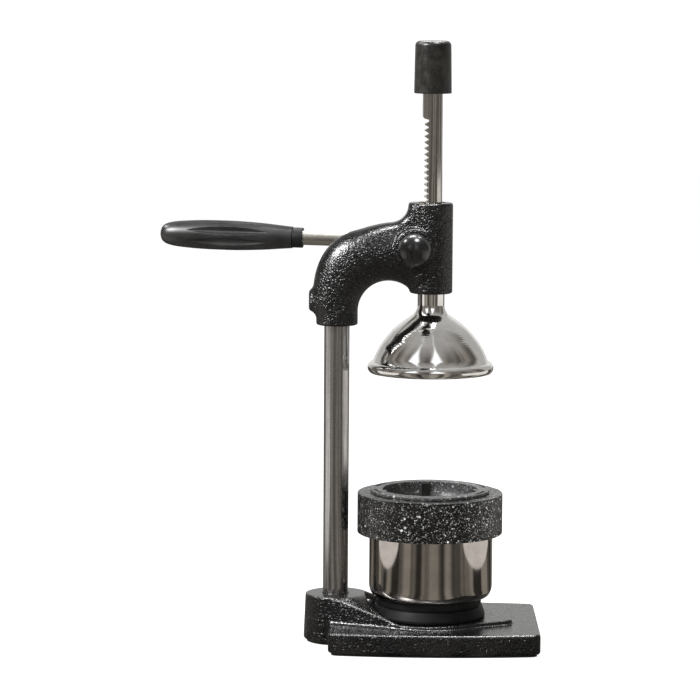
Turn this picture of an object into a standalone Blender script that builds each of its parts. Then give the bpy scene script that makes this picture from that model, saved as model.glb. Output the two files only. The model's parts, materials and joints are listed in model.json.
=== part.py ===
"""Hand citrus press with a rack and pinion: cast base, steel column, cast head, side lever and cup.

Units are millimetres in the constants and metres in the scene. The origin is on the table under
the press axis, +Z is up, -X is towards the column and -Y is the side with the ball knob.
"""

import math

import bmesh
import bpy
from mathutils import Matrix, Vector

MM = 0.001
GAP = 0.3  # between pieces that touch
RUN = 0.12  # radial clearance of a running or sliding fit
FINE, MEDIUM, COARSE = 40, 24, 12  # sides of a round piece

# Base
SHEET = 1.6  # rubber sheet under the casting
BASE_LOW = SHEET + GAP
PLATE_TOP = 18.0
PLATE_LEFT, PLATE_RIGHT = -79.2, 86.8
PLATE_HALF_END, PLATE_HALF_MID = 64.5, 70.5
PLATE_CORNER = 5.0
PAD_R, PAD_TOP = 52.5, 21.2
TONGUE_END, TONGUE_HALF = 66.0, 25.0
RECESS_R = 50.8
SKIN = 8.0  # top skin over the hollow underside

# Column
COLUMN_X = -74.1
COLUMN_R = 10.0
COLUMN_LOW, COLUMN_TOP = 12.3, 300.0
COLUMN_BOSS_R, COLUMN_BOSS_FOOT_R, COLUMN_BOSS_TOP = 23.8, 25.2, 38.8
FOOT_BOLT_R = 4.0
BASE_SCREW_Z = 30.0
SCREW_R = 3.0

# Cup and its seat
SEAT_LOW, SEAT_TOP = PAD_TOP + GAP, 36.7
SEAT_R, SEAT_TOP_R = 45.0, 42.0
CUP_LOW, CUP_TOP, CUP_R, CUP_WALL = SEAT_TOP + GAP, 112.0, 49.0, 1.0
CUP_CORNER = (7.5, 12.0)
CUP_X, STRAINER_X = 1.6, 0.6  # the loose cup and strainer stand a little off the press axis

# Strainer
RING_LOW, RING_TOP, RING_R = 87.7, 119.8, 57.6
INSERT_R, INSERT_TOP, HOLE_R = 47.1, 122.6, 37.6
INSERT_BODY_R, INSERT_LOW = 43.4, 100.0
LIP_R = 30.0  # where the funnel ends, over the strainer plate
RIB_ANGLES = (5.0, 95.0, 185.0, 275.0)
SLOT_ANGLES = (24.0, 152.0, 199.0, 338.0)
STRAINER_Z = 99.7
REAMER_R, REAMER_TOP = 27.0, 114.5

# Head
HOUSING_R, HOUSING_LOW, HOUSING_TOP = 16.7, 278.6, 350.0
COLLAR_R, COLLAR_LOW = 16.4, 253.0
ARCH_X, ARCH_Z, ARCH_R = -33.6, 264.1, 24.1
ARM_HALF_WIDTH = 16.4
ARM_STATIONS = (  # angle round the arch, depth of the arm there
    (180, 32.8), (165, 37.2), (150, 41.7), (135, 45.4), (120, 46.4),
    (105, 45.0), (90, 44.6), (75, 44.0), (60, 40.0), (45, 33.0),
)
HEAD_SCREW_Z = 272.2
HEAD_SCREW_FACE = -96.3
BUSH_R = 10.0
BUSH_LENGTH = 17.0

# Rack and pinion
ROD_R = 8.0
MODULE = 1.5
PRESSURE_ANGLE = math.radians(30)
PINION_TEETH = 12
PITCH_R = MODULE * PINION_TEETH / 2
PITCH_X = -4.8  # rack's pitch line
PINION_X, PINION_Z = PITCH_X - PITCH_R, 315.0
TEETH_BELOW, TEETH_ABOVE = 4, 21  # rack teeth below and above the pinion's axis
BACKLASH = 0.15
SHAFT_R = 5.0
FRONT_FACE, REAR_FACE = -20.0, 36.0

# Press rod, cap and bell
CAP_LOW, CAP_TOP, CAP_R, CAP_TOP_R = 435.7, 476.8, 14.8, 14.1
ROD_TOP = 472.0
BELL_TOP, BELL_LOW = HOUSING_LOW - GAP, 215.8
BELL_NECK_R, BELL_RIM_R, BELL_WALL = 10.4, 49.85, 1.9
DOME_R, DOME_Z = 46.2, 213.2
ROD_LOW = 264.3

# Lever
LEVER_Y = 51.0
LEVER_OUTWARD, LEVER_RISE = math.radians(7.0), math.radians(0.95)
HUB_R, HUB_BACK, HUB_FRONT = 12.0, -12.0, 37.0
LEVER_R, LEVER_START, LEVER_END = 5.8, 16.0, 196.0
FERRULE_START, FERRULE_END, FERRULE_R = 89.2, 97.6, 8.15
GRIP_END = 205.8
KNOB_Y, KNOB_R = -33.7, 13.0

PARTS_NAME, CUTTERS_NAME = "citrus_press", "cutters"


# ---------------------------------------------------------------- scene and materials

def clear_scene():
    for obj in list(bpy.data.objects):
        bpy.data.objects.remove(obj)
    for name in (PARTS_NAME, CUTTERS_NAME):
        bpy.context.scene.collection.children.link(bpy.data.collections.new(name))


def material(name, colour, roughness, metallic=0.0):
    made = bpy.data.materials.get(name) or bpy.data.materials.new(name)
    made.use_nodes = True
    shader = made.node_tree.nodes["Principled BSDF"]
    shader.inputs["Base Color"].default_value = (*colour, 1.0)
    shader.inputs["Roughness"].default_value = roughness
    shader.inputs["Metallic"].default_value = metallic
    return made


CASTING = ("hammered_paint", (0.012, 0.012, 0.013), 0.25, 0.0)
SATIN = ("satin_steel", (0.42, 0.41, 0.40), 0.32, 1.0)
POLISHED = ("polished_steel", (0.62, 0.61, 0.59), 0.12, 1.0)
ALUMINIUM = ("polished_aluminium", (0.80, 0.79, 0.77), 0.10, 1.0)
STAINLESS = ("stainless", (0.50, 0.47, 0.44), 0.18, 1.0)
ZINC = ("zinc_steel", (0.55, 0.55, 0.56), 0.35, 1.0)
BRONZE = ("bronze", (0.45, 0.30, 0.14), 0.35, 1.0)
RUBBER = ("black_rubber", (0.018, 0.018, 0.018), 0.75, 0.0)
SEAT_PLASTIC = ("seat_plastic", (0.012, 0.012, 0.013), 0.35, 0.0)
GRIP_PLASTIC = ("grip_plastic", (0.015, 0.015, 0.016), 0.32, 0.0)
KNOB_PLASTIC = ("knob_plastic", (0.010, 0.010, 0.010), 0.10, 0.0)
GRANITE = ("speckled_plastic", (0.035, 0.036, 0.038), 0.40, 0.0)


# ---------------------------------------------------------------- shape helpers

def add_object(name, mesh, look=None):
    """Links a mesh as a part, or as a cutter where it has no look."""
    obj = bpy.data.objects.new(name, mesh)
    bpy.data.collections[PARTS_NAME if look else CUTTERS_NAME].objects.link(obj)
    if look:
        mesh.materials.clear()
        mesh.materials.append(material(*look))
    else:
        obj.hide_render = True
        obj.display_type = "WIRE"
    return obj


def aim(obj, place, direction):
    """Puts the object's origin at place, in mm, with its own Z along direction."""
    turn = Vector((0, 0, 1)).rotation_difference(Vector(direction).normalized())
    obj.matrix_world = Matrix.Translation(Vector(place) * MM) @ turn.to_matrix().to_4x4()


def placed(mesh_source, name, look, place, direction):
    mesh = bpy.data.meshes.new(name)
    mesh_source.to_mesh(mesh)
    mesh_source.free()
    obj = add_object(name, mesh, look)
    aim(obj, place, direction)
    return obj


def cylinder(name, radius, low, high, look=None, place=(0, 0, 0), direction=(0, 0, 1), sides=MEDIUM,
             top_radius=None):
    """A cylinder or cone from low to high along direction, measured from place."""
    shape = bmesh.new()
    bmesh.ops.create_cone(shape, cap_ends=True, segments=sides, radius1=radius * MM,
                          radius2=(radius if top_radius is None else top_radius) * MM,
                          depth=(high - low) * MM)
    bmesh.ops.translate(shape, verts=shape.verts, vec=(0, 0, (low + high) / 2 * MM))
    return placed(shape, name, look, place, direction)


def box(name, low, high, look=None):
    shape = bmesh.new()
    bmesh.ops.create_cube(shape, size=1)
    size = [(b - a) * MM for a, b in zip(low, high)]
    bmesh.ops.scale(shape, verts=shape.verts, vec=size)
    centre = [(a + b) / 2 for a, b in zip(low, high)]
    return placed(shape, name, look, centre, (0, 0, 1))


def turned(name, profile, look=None, place=(0, 0, 0), direction=(0, 0, 1), sides=FINE):
    """A profile of (radius, height) points that runs down its outer side, turned about its axis.

    A profile that starts and ends on the axis is solid, and any other is a closed ring.
    """
    mesh = bpy.data.meshes.new(name)
    edges = [(i, i + 1) for i in range(len(profile) - 1)]
    if profile[0][0] > 1e-6:
        edges.append((len(profile) - 1, 0))
    mesh.from_pydata([(r * MM, 0, z * MM) for r, z in profile], edges, [])
    obj = add_object(name, mesh, look)
    aim(obj, place, direction)
    screw = obj.modifiers.new("turn", "SCREW")
    screw.steps = screw.render_steps = sides
    screw.use_merge_vertices = True
    screw.merge_threshold = 1e-6
    screw.use_smooth_shade = False
    return obj


def mesh_from_curve(curve_object, name, look):
    """Turns a curve object into a mesh object with its caps welded."""
    bpy.context.view_layer.update()
    evaluated = curve_object.evaluated_get(bpy.context.evaluated_depsgraph_get())
    mesh = bpy.data.meshes.new_from_object(evaluated)
    shape = bmesh.new()
    shape.from_mesh(mesh)
    bmesh.ops.remove_doubles(shape, verts=shape.verts, dist=1e-6)
    bmesh.ops.recalc_face_normals(shape, faces=shape.faces)
    shape.to_mesh(mesh)
    shape.free()
    obj = add_object(name, mesh, look)
    obj.matrix_world = curve_object.matrix_world.copy()
    bpy.data.objects.remove(curve_object)
    return obj


def slab(name, points, low, high, look=None, upright=False):
    """A flat outline in mm made solid from low to high: along Z, or along Y for an upright XZ outline."""
    curve = bpy.data.curves.new(name, "CURVE")
    curve.dimensions = "2D"
    curve.fill_mode = "BOTH"
    curve.extrude = (high - low) / 2 * MM
    spline = curve.splines.new("POLY")
    spline.points.add(len(points) - 1)
    for point, (x, y) in zip(spline.points, points):
        point.co = (x * MM, y * MM, 0, 1)
    spline.use_cyclic_u = True
    outline = bpy.data.objects.new(name + "_outline", curve)
    bpy.context.scene.collection.objects.link(outline)
    middle = (low + high) / 2 * MM
    if upright:
        outline.matrix_world = Matrix.Translation((0, middle, 0)) @ Matrix.Rotation(math.pi / 2, 4, "X")
    else:
        outline.matrix_world = Matrix.Translation((0, 0, middle))
    return mesh_from_curve(outline, name, look)


def arc(centre, radius, start, end, steps):
    """Points from start to end, in degrees, round a centre. radius is one number or an (across, up) pair."""
    across, up = radius if isinstance(radius, tuple) else (radius, radius)
    angles = [math.radians(start + (end - start) * i / steps) for i in range(steps + 1)]
    return [(centre[0] + across * math.cos(a), centre[1] + up * math.sin(a)) for a in angles]


def combine(target, other, operation):
    change = target.modifiers.new(operation.lower() + "_" + other.name, "BOOLEAN")
    change.operation = operation
    change.object = other
    return target


def cut(target, *cutters):
    for cutter in cutters:
        combine(target, cutter, "DIFFERENCE")
    return target


def join(target, *others):
    for other in others:
        combine(target, other, "UNION")
    return target


def bevel(obj, width, segments=2, angle=50):
    change = obj.modifiers.new("edges", "BEVEL")
    change.width = width * MM
    change.segments = segments
    change.limit_method = "ANGLE"
    change.angle_limit = math.radians(angle)
    return obj


def hexagon(name, across_flats, low, high, look, place, direction):
    corner = across_flats / 2 / math.cos(math.pi / 6)
    return cylinder(name, corner, low, high, look, place, direction, sides=6)


# ---------------------------------------------------------------- base

def plate_outline(inset=0.0):
    """The plate in plan: long sides bowed outwards, with round corners."""
    left, right = PLATE_LEFT + inset, PLATE_RIGHT - inset
    corner = PLATE_CORNER
    half_length = (right - left) / 2
    bow = PLATE_HALF_MID - PLATE_HALF_END
    side_r = (half_length ** 2 + bow ** 2) / (2 * bow)
    middle = ((left + right) / 2, PLATE_HALF_MID - inset - side_r)
    reach = math.degrees(math.asin((half_length - corner) / side_r))
    back = arc(middle, side_r, 90 - reach, 90 + reach, 12)
    end_y = PLATE_HALF_END - inset - corner + 0.5
    left_back = arc((left + corner, end_y), corner, 110, 180, 3)
    right_back = arc((right - corner, end_y), corner, 0, 70, 3)
    upper = right_back + back + left_back
    return upper + [(x, -y) for x, y in reversed(upper)]


def boss_and_ramp():
    """The column's boss and the web that falls from it to the pad, as the hull of both outlines."""
    shape = bmesh.new()
    column = (COLUMN_X, 0)
    for outline, height in (
        (arc(column, COLUMN_BOSS_FOOT_R, 0, 350, 35), BASE_LOW),
        (arc(column, COLUMN_BOSS_R, 0, 350, 35), COLUMN_BOSS_TOP),
        (arc((0, 0), PAD_R, 119, 241, 12), BASE_LOW + 4),
        (arc((0, 0), PAD_R, 119, 241, 12), PAD_TOP + 0.4),
    ):
        for x, y in outline:
            shape.verts.new((x * MM, y * MM, height * MM))
    hull = bmesh.ops.convex_hull(shape, input=shape.verts)
    inner = {item for item in hull["geom_interior"] if isinstance(item, bmesh.types.BMVert)}
    bmesh.ops.delete(shape, geom=list(inner), context="VERTS")
    bmesh.ops.recalc_face_normals(shape, faces=shape.faces)
    return placed(shape, "cut_boss", None, (0, 0, 0), (0, 0, 1))


def base_casting():
    base = slab("base_casting", plate_outline(), BASE_LOW, PLATE_TOP, CASTING)
    bevel(base, 2.2)
    tongue_r = 6.0
    corner_x, corner_y = TONGUE_END - tongue_r, TONGUE_HALF - tongue_r
    back_corner = arc((corner_x, corner_y), tongue_r, 0, 80, 4)
    tongue = back_corner + [(20, 46), (20, -46)] + [(x, -y) for x, y in reversed(back_corner)]
    join(
        base,
        boss_and_ramp(),
        cylinder("cut_pad", PAD_R + 0.6, 12.5, PAD_TOP, sides=FINE, top_radius=PAD_R),
        slab("cut_tongue", tongue, 12.6, PAD_TOP - 0.05),
    )
    hollow = [(-38, 55), (78, 55), (78, -55), (-38, -55)]
    axis = (COLUMN_X, 0, 0)
    return cut(
        base,
        cylinder("cut_recess", RECESS_R, PAD_TOP, 60, sides=FINE),
        slab("cut_hollow", hollow, 0, PLATE_TOP - SKIN),
        cylinder("cut_column_bore", COLUMN_R + GAP, COLUMN_LOW - GAP, 60, place=axis),
        cylinder("cut_foot_hole", FOOT_BOLT_R + GAP, 0, 20, place=axis, sides=COARSE),
        cylinder("cut_foot_pocket", 9.0, 0, 7.6, place=axis, sides=COARSE),
        cylinder("cut_base_screw", SCREW_R + GAP, 0, 40, place=(COLUMN_X, 0, BASE_SCREW_Z),
                 direction=(1, 0, 0), sides=COARSE),
        cylinder("cut_seat_screw", 2.8, 0, 30, sides=COARSE),
    )


def base_sheet():
    sheet = slab("base_rubber_sheet", plate_outline(inset=2.5), 0, SHEET, RUBBER)
    return join(sheet, cylinder("cut_sheet_boss", COLUMN_BOSS_FOOT_R - 2.5, -0.001, SHEET + 0.001,
                                place=(COLUMN_X, 0, 0), sides=MEDIUM))


def column():
    pole = cylinder("column", COLUMN_R, COLUMN_LOW, COLUMN_TOP, SATIN, (COLUMN_X, 0, 0))
    cut(pole, cylinder("cut_column_tapping", FOOT_BOLT_R + GAP, 0, 32, place=(COLUMN_X, 0, 0), sides=COARSE))
    foot = (COLUMN_X, 0, 0)
    bolt = hexagon("column_bolt", 13, BASE_LOW, 6.0, ZINC, foot, (0, 0, 1))
    join(bolt, cylinder("cut_column_bolt", FOOT_BOLT_R, 5, 30, place=foot, sides=COARSE))
    washer = turned("column_washer", [(8.4, 7.3), (8.4, 6.2), (4.3, 6.2), (4.3, 7.3)], ZINC, foot,
                    sides=COARSE)
    return pole, bolt, washer


def base_clamp_screw():
    """Grub screw with a domed end that stands in the recess and clamps the column's foot."""
    start, end = COLUMN_R + GAP, -44.6 - COLUMN_X
    dome = arc((0, end - SCREW_R), SCREW_R, 90, 0, 4)
    turned("base_clamp_screw", dome + [(SCREW_R, start), (0, start)], ZINC,
           (COLUMN_X, 0, BASE_SCREW_Z), (1, 0, 0), COARSE)


# ---------------------------------------------------------------- head

def arm_loft():
    """Collar and arm: a round foot, then oval sections on rays from the arch's centre to the housing."""
    shape = bmesh.new()
    sides = 32
    straight = Vector((-1, 0, 0))
    sections = [(Vector((COLUMN_X, 0, COLLAR_LOW)), straight, 2 * COLLAR_R)]
    for angle, depth in ARM_STATIONS:
        ray = Vector((math.cos(math.radians(angle)), 0, math.sin(math.radians(angle))))
        sections.append((Vector((ARCH_X, 0, ARCH_Z)) + ray * (ARCH_R + depth / 2), ray, depth))
    rings = []
    for centre, ray, depth in sections:
        ring = []
        for i in range(sides):
            around = 2 * math.pi * i / sides
            offset = ray * (depth / 2 * math.cos(around)) + Vector((0, ARM_HALF_WIDTH * math.sin(around), 0))
            ring.append(shape.verts.new((centre + offset) * MM))
        rings.append(ring)
    for near, far in zip(rings, rings[1:]):
        for i in range(sides):
            shape.faces.new((near[i], near[i - 1], far[i - 1], far[i]))
    shape.faces.new(rings[0])
    shape.faces.new(rings[-1])
    bmesh.ops.recalc_face_normals(shape, faces=shape.faces)
    return placed(shape, "cut_arm", None, (0, 0, 0), (0, 0, 1))


def head_casting():
    head = cylinder("head_casting", HOUSING_R, HOUSING_LOW, HOUSING_TOP, CASTING, sides=FINE)
    bevel(head, 1.2, 1)
    pinion = (PINION_X, 0, PINION_Z)
    screw = (0, 0, HEAD_SCREW_Z)
    shoulder = [(-34.6, 328)] + arc((-34.6, 352.0), (18.0, 18.5), 270, 350, 5) + [(-8, 349.0), (-8, 328)]
    join(
        head,
        arm_loft(),
        slab("cut_shoulder", shoulder, -8.5, 8.5, upright=True),
        cylinder("cut_front_boss", 16.5, -2, -FRONT_FACE, place=pinion, direction=(0, -1, 0)),
        cylinder("cut_rear_boss", 15.5, -2, REAR_FACE, place=pinion, direction=(0, 1, 0)),
        cylinder("cut_screw_boss", 15.0, 84, -HEAD_SCREW_FACE, place=screw, direction=(-1, 0, 0),
                 sides=COARSE, top_radius=7.8),
    )
    return cut(
        head,
        cylinder("cut_rod_bore", BUSH_R + GAP, 240, 400),
        cylinder("cut_column_socket", COLUMN_R + GAP, 200, COLUMN_TOP + GAP, place=(COLUMN_X, 0, 0)),
        cylinder("cut_pinion_bore", 11.0, -9.2, 60, place=pinion, direction=(0, 1, 0)),
        cylinder("cut_front_bore", 8.0 + GAP, -40, 0, place=pinion, direction=(0, 1, 0)),
        cylinder("cut_head_screw", SCREW_R + GAP, 80, 110, place=screw, direction=(-1, 0, 0), sides=COARSE),
    )


def head_clamp_screw():
    start, end = COLUMN_R - COLUMN_X + GAP, 94.6
    cylinder("head_clamp_screw", SCREW_R, start, end, ZINC, (0, 0, HEAD_SCREW_Z), (-1, 0, 0), COARSE)


def bushes():
    """Bronze bushes: two for the press rod, two for the pinion shaft."""
    inner, outer = ROD_R + RUN, BUSH_R
    for name, low in (("rod_bush_lower", HOUSING_LOW + 0.6), ("rod_bush_upper", HOUSING_TOP - 0.6 - BUSH_LENGTH)):
        high = low + BUSH_LENGTH
        turned(name, [(outer, high), (outer, low), (inner, low), (inner, high)], BRONZE, sides=MEDIUM)
    pinion = (PINION_X, 0, PINION_Z)
    for name, outer, low, high in (
        ("shaft_bush_front", 8.0, 9.6, -FRONT_FACE),
        ("shaft_bush_rear", 10.7, -REAR_FACE, -10.0),
    ):
        bore = SHAFT_R + RUN
        turned(name, [(outer, high), (outer, low), (bore, low), (bore, high)], BRONZE, pinion, (0, -1, 0),
               sides=MEDIUM)


# ---------------------------------------------------------------- rack, pinion and press rod

def rack_comb():
    """The spaces between the rack's teeth as one comb, to cut from the rod. A space faces the pinion's axis."""
    pitch = math.pi * MODULE
    tip_x, root_x = PITCH_X - MODULE, PITCH_X + 1.25 * MODULE
    slope = math.tan(PRESSURE_ANGLE)
    half_at_pitch = (pitch / 2 - BACKLASH) / 2
    half_at_tip = half_at_pitch - MODULE * slope
    half_at_root = half_at_pitch + 1.25 * MODULE * slope
    low = PINION_Z - TEETH_BELOW * pitch
    high = PINION_Z + TEETH_ABOVE * pitch
    points = [(-10, low), (root_x, low)]
    for tooth in range(-TEETH_BELOW, TEETH_ABOVE):
        z = PINION_Z + (tooth + 0.5) * pitch
        points += [(root_x, z - half_at_root), (tip_x, z - half_at_tip), (tip_x, z + half_at_tip),
                   (root_x, z + half_at_root)]
    run_out = arc((root_x, high + 5), (ROD_R + root_x + 0.4, 3.6), 270, 180, 4)
    return slab("cut_rack", points + run_out + [(-10, high + 5)], -9, 9, upright=True)


def press_rod():
    rod = cylinder("rack_rod", ROD_R, ROD_LOW, ROD_TOP, POLISHED, sides=MEDIUM)
    return cut(rod, rack_comb(), cylinder("cut_rod_tapping", SCREW_R + GAP, 250, 284, sides=COARSE))


def pinion_outline():
    """Involute teeth, with one facing +X so that it fits the rack's space at the shaft's height."""
    base_r = PITCH_R * math.cos(PRESSURE_ANGLE)
    outer_r, root_r = PITCH_R + 0.9 * MODULE, PITCH_R - 1.25 * MODULE
    involute = math.tan(PRESSURE_ANGLE) - PRESSURE_ANGLE
    half_at_pitch = (math.pi / 2 * MODULE - BACKLASH) / 2 / PITCH_R
    flank = []
    for i in range(4):
        r = base_r + (outer_r - base_r) * i / 3
        roll = math.acos(base_r / r)
        flank.append((r, half_at_pitch + involute - (math.tan(roll) - roll)))
    points = []
    for tooth in range(PINION_TEETH):
        middle = tooth * 2 * math.pi / PINION_TEETH
        side = [(root_r, flank[0][1] + 0.02)] + flank
        polar = [(r, middle - a) for r, a in side] + [(r, middle + a) for r, a in reversed(side)]
        points += [(r * math.cos(a), r * math.sin(a)) for r, a in polar]
    return [(PINION_X + x, PINION_Z + z) for x, z in points]


def pinion_shaft():
    """Shaft and pinion, machined in one piece, with a stud at each end."""
    place = (PINION_X, 0, PINION_Z)
    shaft = cylinder("pinion_shaft", SHAFT_R, FRONT_FACE - 0.4, 63.2, POLISHED, place, (0, 1, 0))
    join(
        shaft,
        slab("cut_teeth", pinion_outline(), -8.6, 8.6, upright=True),
        cylinder("cut_front_stud", 4.0, -32.0, 0, place=place, direction=(0, 1, 0), sides=COARSE),
        cylinder("cut_rear_stud", 4.0, 0, 71.8, place=place, direction=(0, 1, 0), sides=COARSE),
    )
    return shaft


def rod_cap():
    edge = 4.0
    top = arc((CAP_TOP_R - edge, CAP_TOP - edge), edge, 90, 0, 4)
    bore = ROD_R + GAP
    profile = [(0, CAP_TOP)] + top + [
        (CAP_R, CAP_LOW + 1.0), (CAP_R - 1.0, CAP_LOW), (bore, CAP_LOW), (bore, ROD_TOP + GAP), (0, ROD_TOP + GAP)]
    return turned("rod_cap", profile, RUBBER, sides=MEDIUM)


def bell_profile():
    """Down the outside: neck, flare, dome and rolled rim. Then up the inside."""
    neck_foot = 267.0
    outside = [(BELL_NECK_R, BELL_TOP), (BELL_NECK_R, neck_foot), (11.6, 264.2), (14.4, 260.9), (24.2, 254.0)]
    outside += arc((0, DOME_Z), DOME_R, 48, 19.5, 5)
    rim = [(45.6, 225.4)] + arc((46.2, 219.6), (BELL_RIM_R - 46.2, 4.2), 80, -50, 4) + [(47.9, BELL_LOW)]
    inside = [(47.2, BELL_LOW), (46.6, 219.0)]
    inside += arc((0, DOME_Z), DOME_R - BELL_WALL, 12, 56, 5)
    crown = 257.0
    inside += [(13.0, crown), (SCREW_R + GAP, crown), (SCREW_R + GAP, ROD_LOW - GAP),
               (ROD_R + GAP, ROD_LOW - GAP), (ROD_R + GAP, BELL_TOP)]
    return outside + rim + inside


def bell():
    turned("bell", bell_profile(), ALUMINIUM)
    bolt = hexagon("bell_bolt", 10, 250.8, 255.0, ZINC, (0, 0, 0), (0, 0, 1))
    join(bolt, cylinder("cut_bell_bolt", SCREW_R, 254, 282, sides=COARSE))
    turned("bell_washer", [(9.0, 256.7), (9.0, 255.3), (3.4, 255.3), (3.4, 256.7)], ZINC, sides=COARSE)


# ---------------------------------------------------------------- lever

def lever_pose():
    """The pivot on the pinion's axis, and the way the lever points."""
    direction = (
        -math.cos(LEVER_OUTWARD) * math.cos(LEVER_RISE),
        math.sin(LEVER_OUTWARD) * math.cos(LEVER_RISE),
        math.sin(LEVER_RISE),
    )
    return (PINION_X, LEVER_Y, PINION_Z), direction


def lever():
    pivot, along = lever_pose()
    hub = turned("lever_hub", [(0, HUB_FRONT), (HUB_R - 1, HUB_FRONT), (HUB_R, HUB_FRONT - 1),
                               (HUB_R, HUB_BACK + 1), (HUB_R - 1, HUB_BACK), (0, HUB_BACK)],
                 SATIN, pivot, along, MEDIUM)
    cut(
        hub,
        cylinder("cut_hub_shaft", SHAFT_R + GAP, -30, 30, place=pivot, direction=(0, 1, 0)),
        cylinder("cut_hub_socket", LEVER_R + GAP, LEVER_START - GAP, 60, place=pivot, direction=along),
    )
    cylinder("lever_rod", LEVER_R, LEVER_START, LEVER_END, SATIN, pivot, along)
    bore = LEVER_R + GAP
    nut = hexagon("lever_lock_nut", 16, HUB_FRONT + GAP, HUB_FRONT + 5.5, ZINC, pivot, along)
    cut(nut, cylinder("cut_lock_nut", bore, 20, 60, place=pivot, direction=along))
    low, high = FERRULE_START, FERRULE_END
    turned("grip_ferrule", [(FERRULE_R - 0.4, high), (FERRULE_R, high - 0.4), (FERRULE_R, low + 0.5),
                            (FERRULE_R - 0.5, low), (bore, low), (bore, high)],
           SEAT_PLASTIC, pivot, along, MEDIUM)
    start = FERRULE_END + GAP
    end_r = 8.6
    body = [(11.2, 190), (12.0, 174), (12.2, 158), (12.0, 142), (11.0, 122), (9.4, 106), (8.7, start)]
    profile = [(0, GRIP_END)] + arc((end_r - 4, GRIP_END - 6), (4.4, 6), 78, 12, 4) + [(10.1, 197.5)] + body
    profile += [(bore, start), (bore, LEVER_END + GAP), (0, LEVER_END + GAP)]
    turned("lever_grip", profile, GRIP_PLASTIC, pivot, along, MEDIUM)


def shaft_ends():
    """What the pinion shaft carries: a thrust washer, the lever's nut and the ball knob."""
    place = (PINION_X, 0, PINION_Z)
    turned("thrust_washer", [(9.0, 37.6), (9.0, 36.3), (5.3, 36.3), (5.3, 37.6)], BRONZE, place, (0, 1, 0),
           COARSE)
    nut = hexagon("lever_end_nut", 13, 64.5, 70.8, ZINC, place, (0, 1, 0))
    cut(nut, cylinder("cut_end_nut", 4.3, 50, 80, place=place, direction=(0, 1, 0), sides=COARSE))
    back = 12.4
    widest = math.degrees(math.acos(back / KNOB_R))
    ball = arc((0, 0), KNOB_R, 90, -90 + widest, 12)
    profile = ball + [(4.3, -back), (4.3, -1.4), (0, -1.4)]
    turned("ball_knob", profile, KNOB_PLASTIC, (PINION_X, KNOB_Y, PINION_Z), (0, -1, 0), MEDIUM)


# ---------------------------------------------------------------- cup, seat and strainer

def cup_seat():
    low, top = SEAT_LOW, SEAT_TOP
    groove = SEAT_TOP_R - 1
    seat = turned("cup_seat", [
        (0, top), (SEAT_TOP_R, top), (SEAT_TOP_R, 31.2), (groove, 30.6), (SEAT_TOP_R + 0.5, 30.0),
        (SEAT_R, low + 2.0), (SEAT_R, low), (0, low)], SEAT_PLASTIC)
    cut(seat, cylinder("cut_seat_tapping", 2.8, 0, 32, sides=COARSE))
    screw = cylinder("cup_seat_screw", 5.0, 6.4, 9.7, ZINC, sides=COARSE)
    join(screw, cylinder("cut_seat_screw_shank", 2.5, 9, 30, sides=COARSE))


def cup():
    across, up = CUP_CORNER
    foot = (CUP_R - across, CUP_LOW + up)
    outside = [(CUP_R, CUP_TOP)] + arc(foot, (across, up), 0, -90, 6) + [(0, CUP_LOW)]
    inside = [(0, CUP_LOW + CUP_WALL)] + arc(foot, (across - CUP_WALL, up - CUP_WALL), -90, 0, 6)
    inside.append((CUP_R - CUP_WALL, CUP_TOP))
    # The profile starts on the inner floor's centre, so that it runs up the inside and down the outside.
    return turned("cup", inside + outside, STAINLESS, (CUP_X, 0, 0))


def strainer_ring():
    shoulder = CUP_TOP + GAP
    bore = CUP_R + CUP_X - STRAINER_X + GAP
    return turned("strainer_ring", [
        (RING_R - 1, RING_TOP), (RING_R, RING_TOP - 1), (RING_R, RING_LOW + 0.8), (RING_R - 0.8, RING_LOW),
        (bore, RING_LOW), (bore, shoulder), (INSERT_BODY_R + GAP, shoulder),
        (INSERT_BODY_R + GAP, RING_TOP)], GRANITE, (STRAINER_X, 0, 0))


def strainer_insert():
    """Funnel with a flange, a bowl that narrows to its lip, four ribs down its wall and four rim slots."""
    flange = RING_TOP + GAP
    place = Matrix.Translation((STRAINER_X * MM, 0, 0))
    outer_wall = INSERT_BODY_R - 2.2
    bowl = [(LIP_R, 105.5), (33.0, 108.2), (35.4, 111.2), (36.9, 114.4), (HOLE_R, 118.0)]
    insert = turned("strainer_insert", [
        (INSERT_R - 0.6, INSERT_TOP), (INSERT_R, INSERT_TOP - 0.6), (INSERT_R, flange), (INSERT_BODY_R, flange),
        (INSERT_BODY_R, INSERT_LOW), (outer_wall, INSERT_LOW), (outer_wall, 108.0), (35.6, 107.6),
        (LIP_R + 0.6, 104.2)] + bowl + [(HOLE_R, INSERT_TOP - 1), (HOLE_R + 1, INSERT_TOP)],
        GRANITE, (STRAINER_X, 0, 0))
    for i, angle in enumerate(RIB_ANGLES):
        rib = box(f"cut_rib_{i}", (HOLE_R - 2.2, -2.5, 109.7), (HOLE_R + 2, 2.5, INSERT_TOP - 2))
        rib.matrix_world = place @ Matrix.Rotation(math.radians(angle), 4, "Z") @ rib.matrix_world
        join(insert, rib)
    for i, angle in enumerate(SLOT_ANGLES):
        slot = box(f"cut_slot_{i}", (42.7, -3.2, INSERT_TOP - 1.6), (45.2, 3.2, INSERT_TOP + 5))
        slot.matrix_world = place @ Matrix.Rotation(math.radians(angle), 4, "Z") @ slot.matrix_world
        cut(insert, slot)
    return insert


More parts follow.
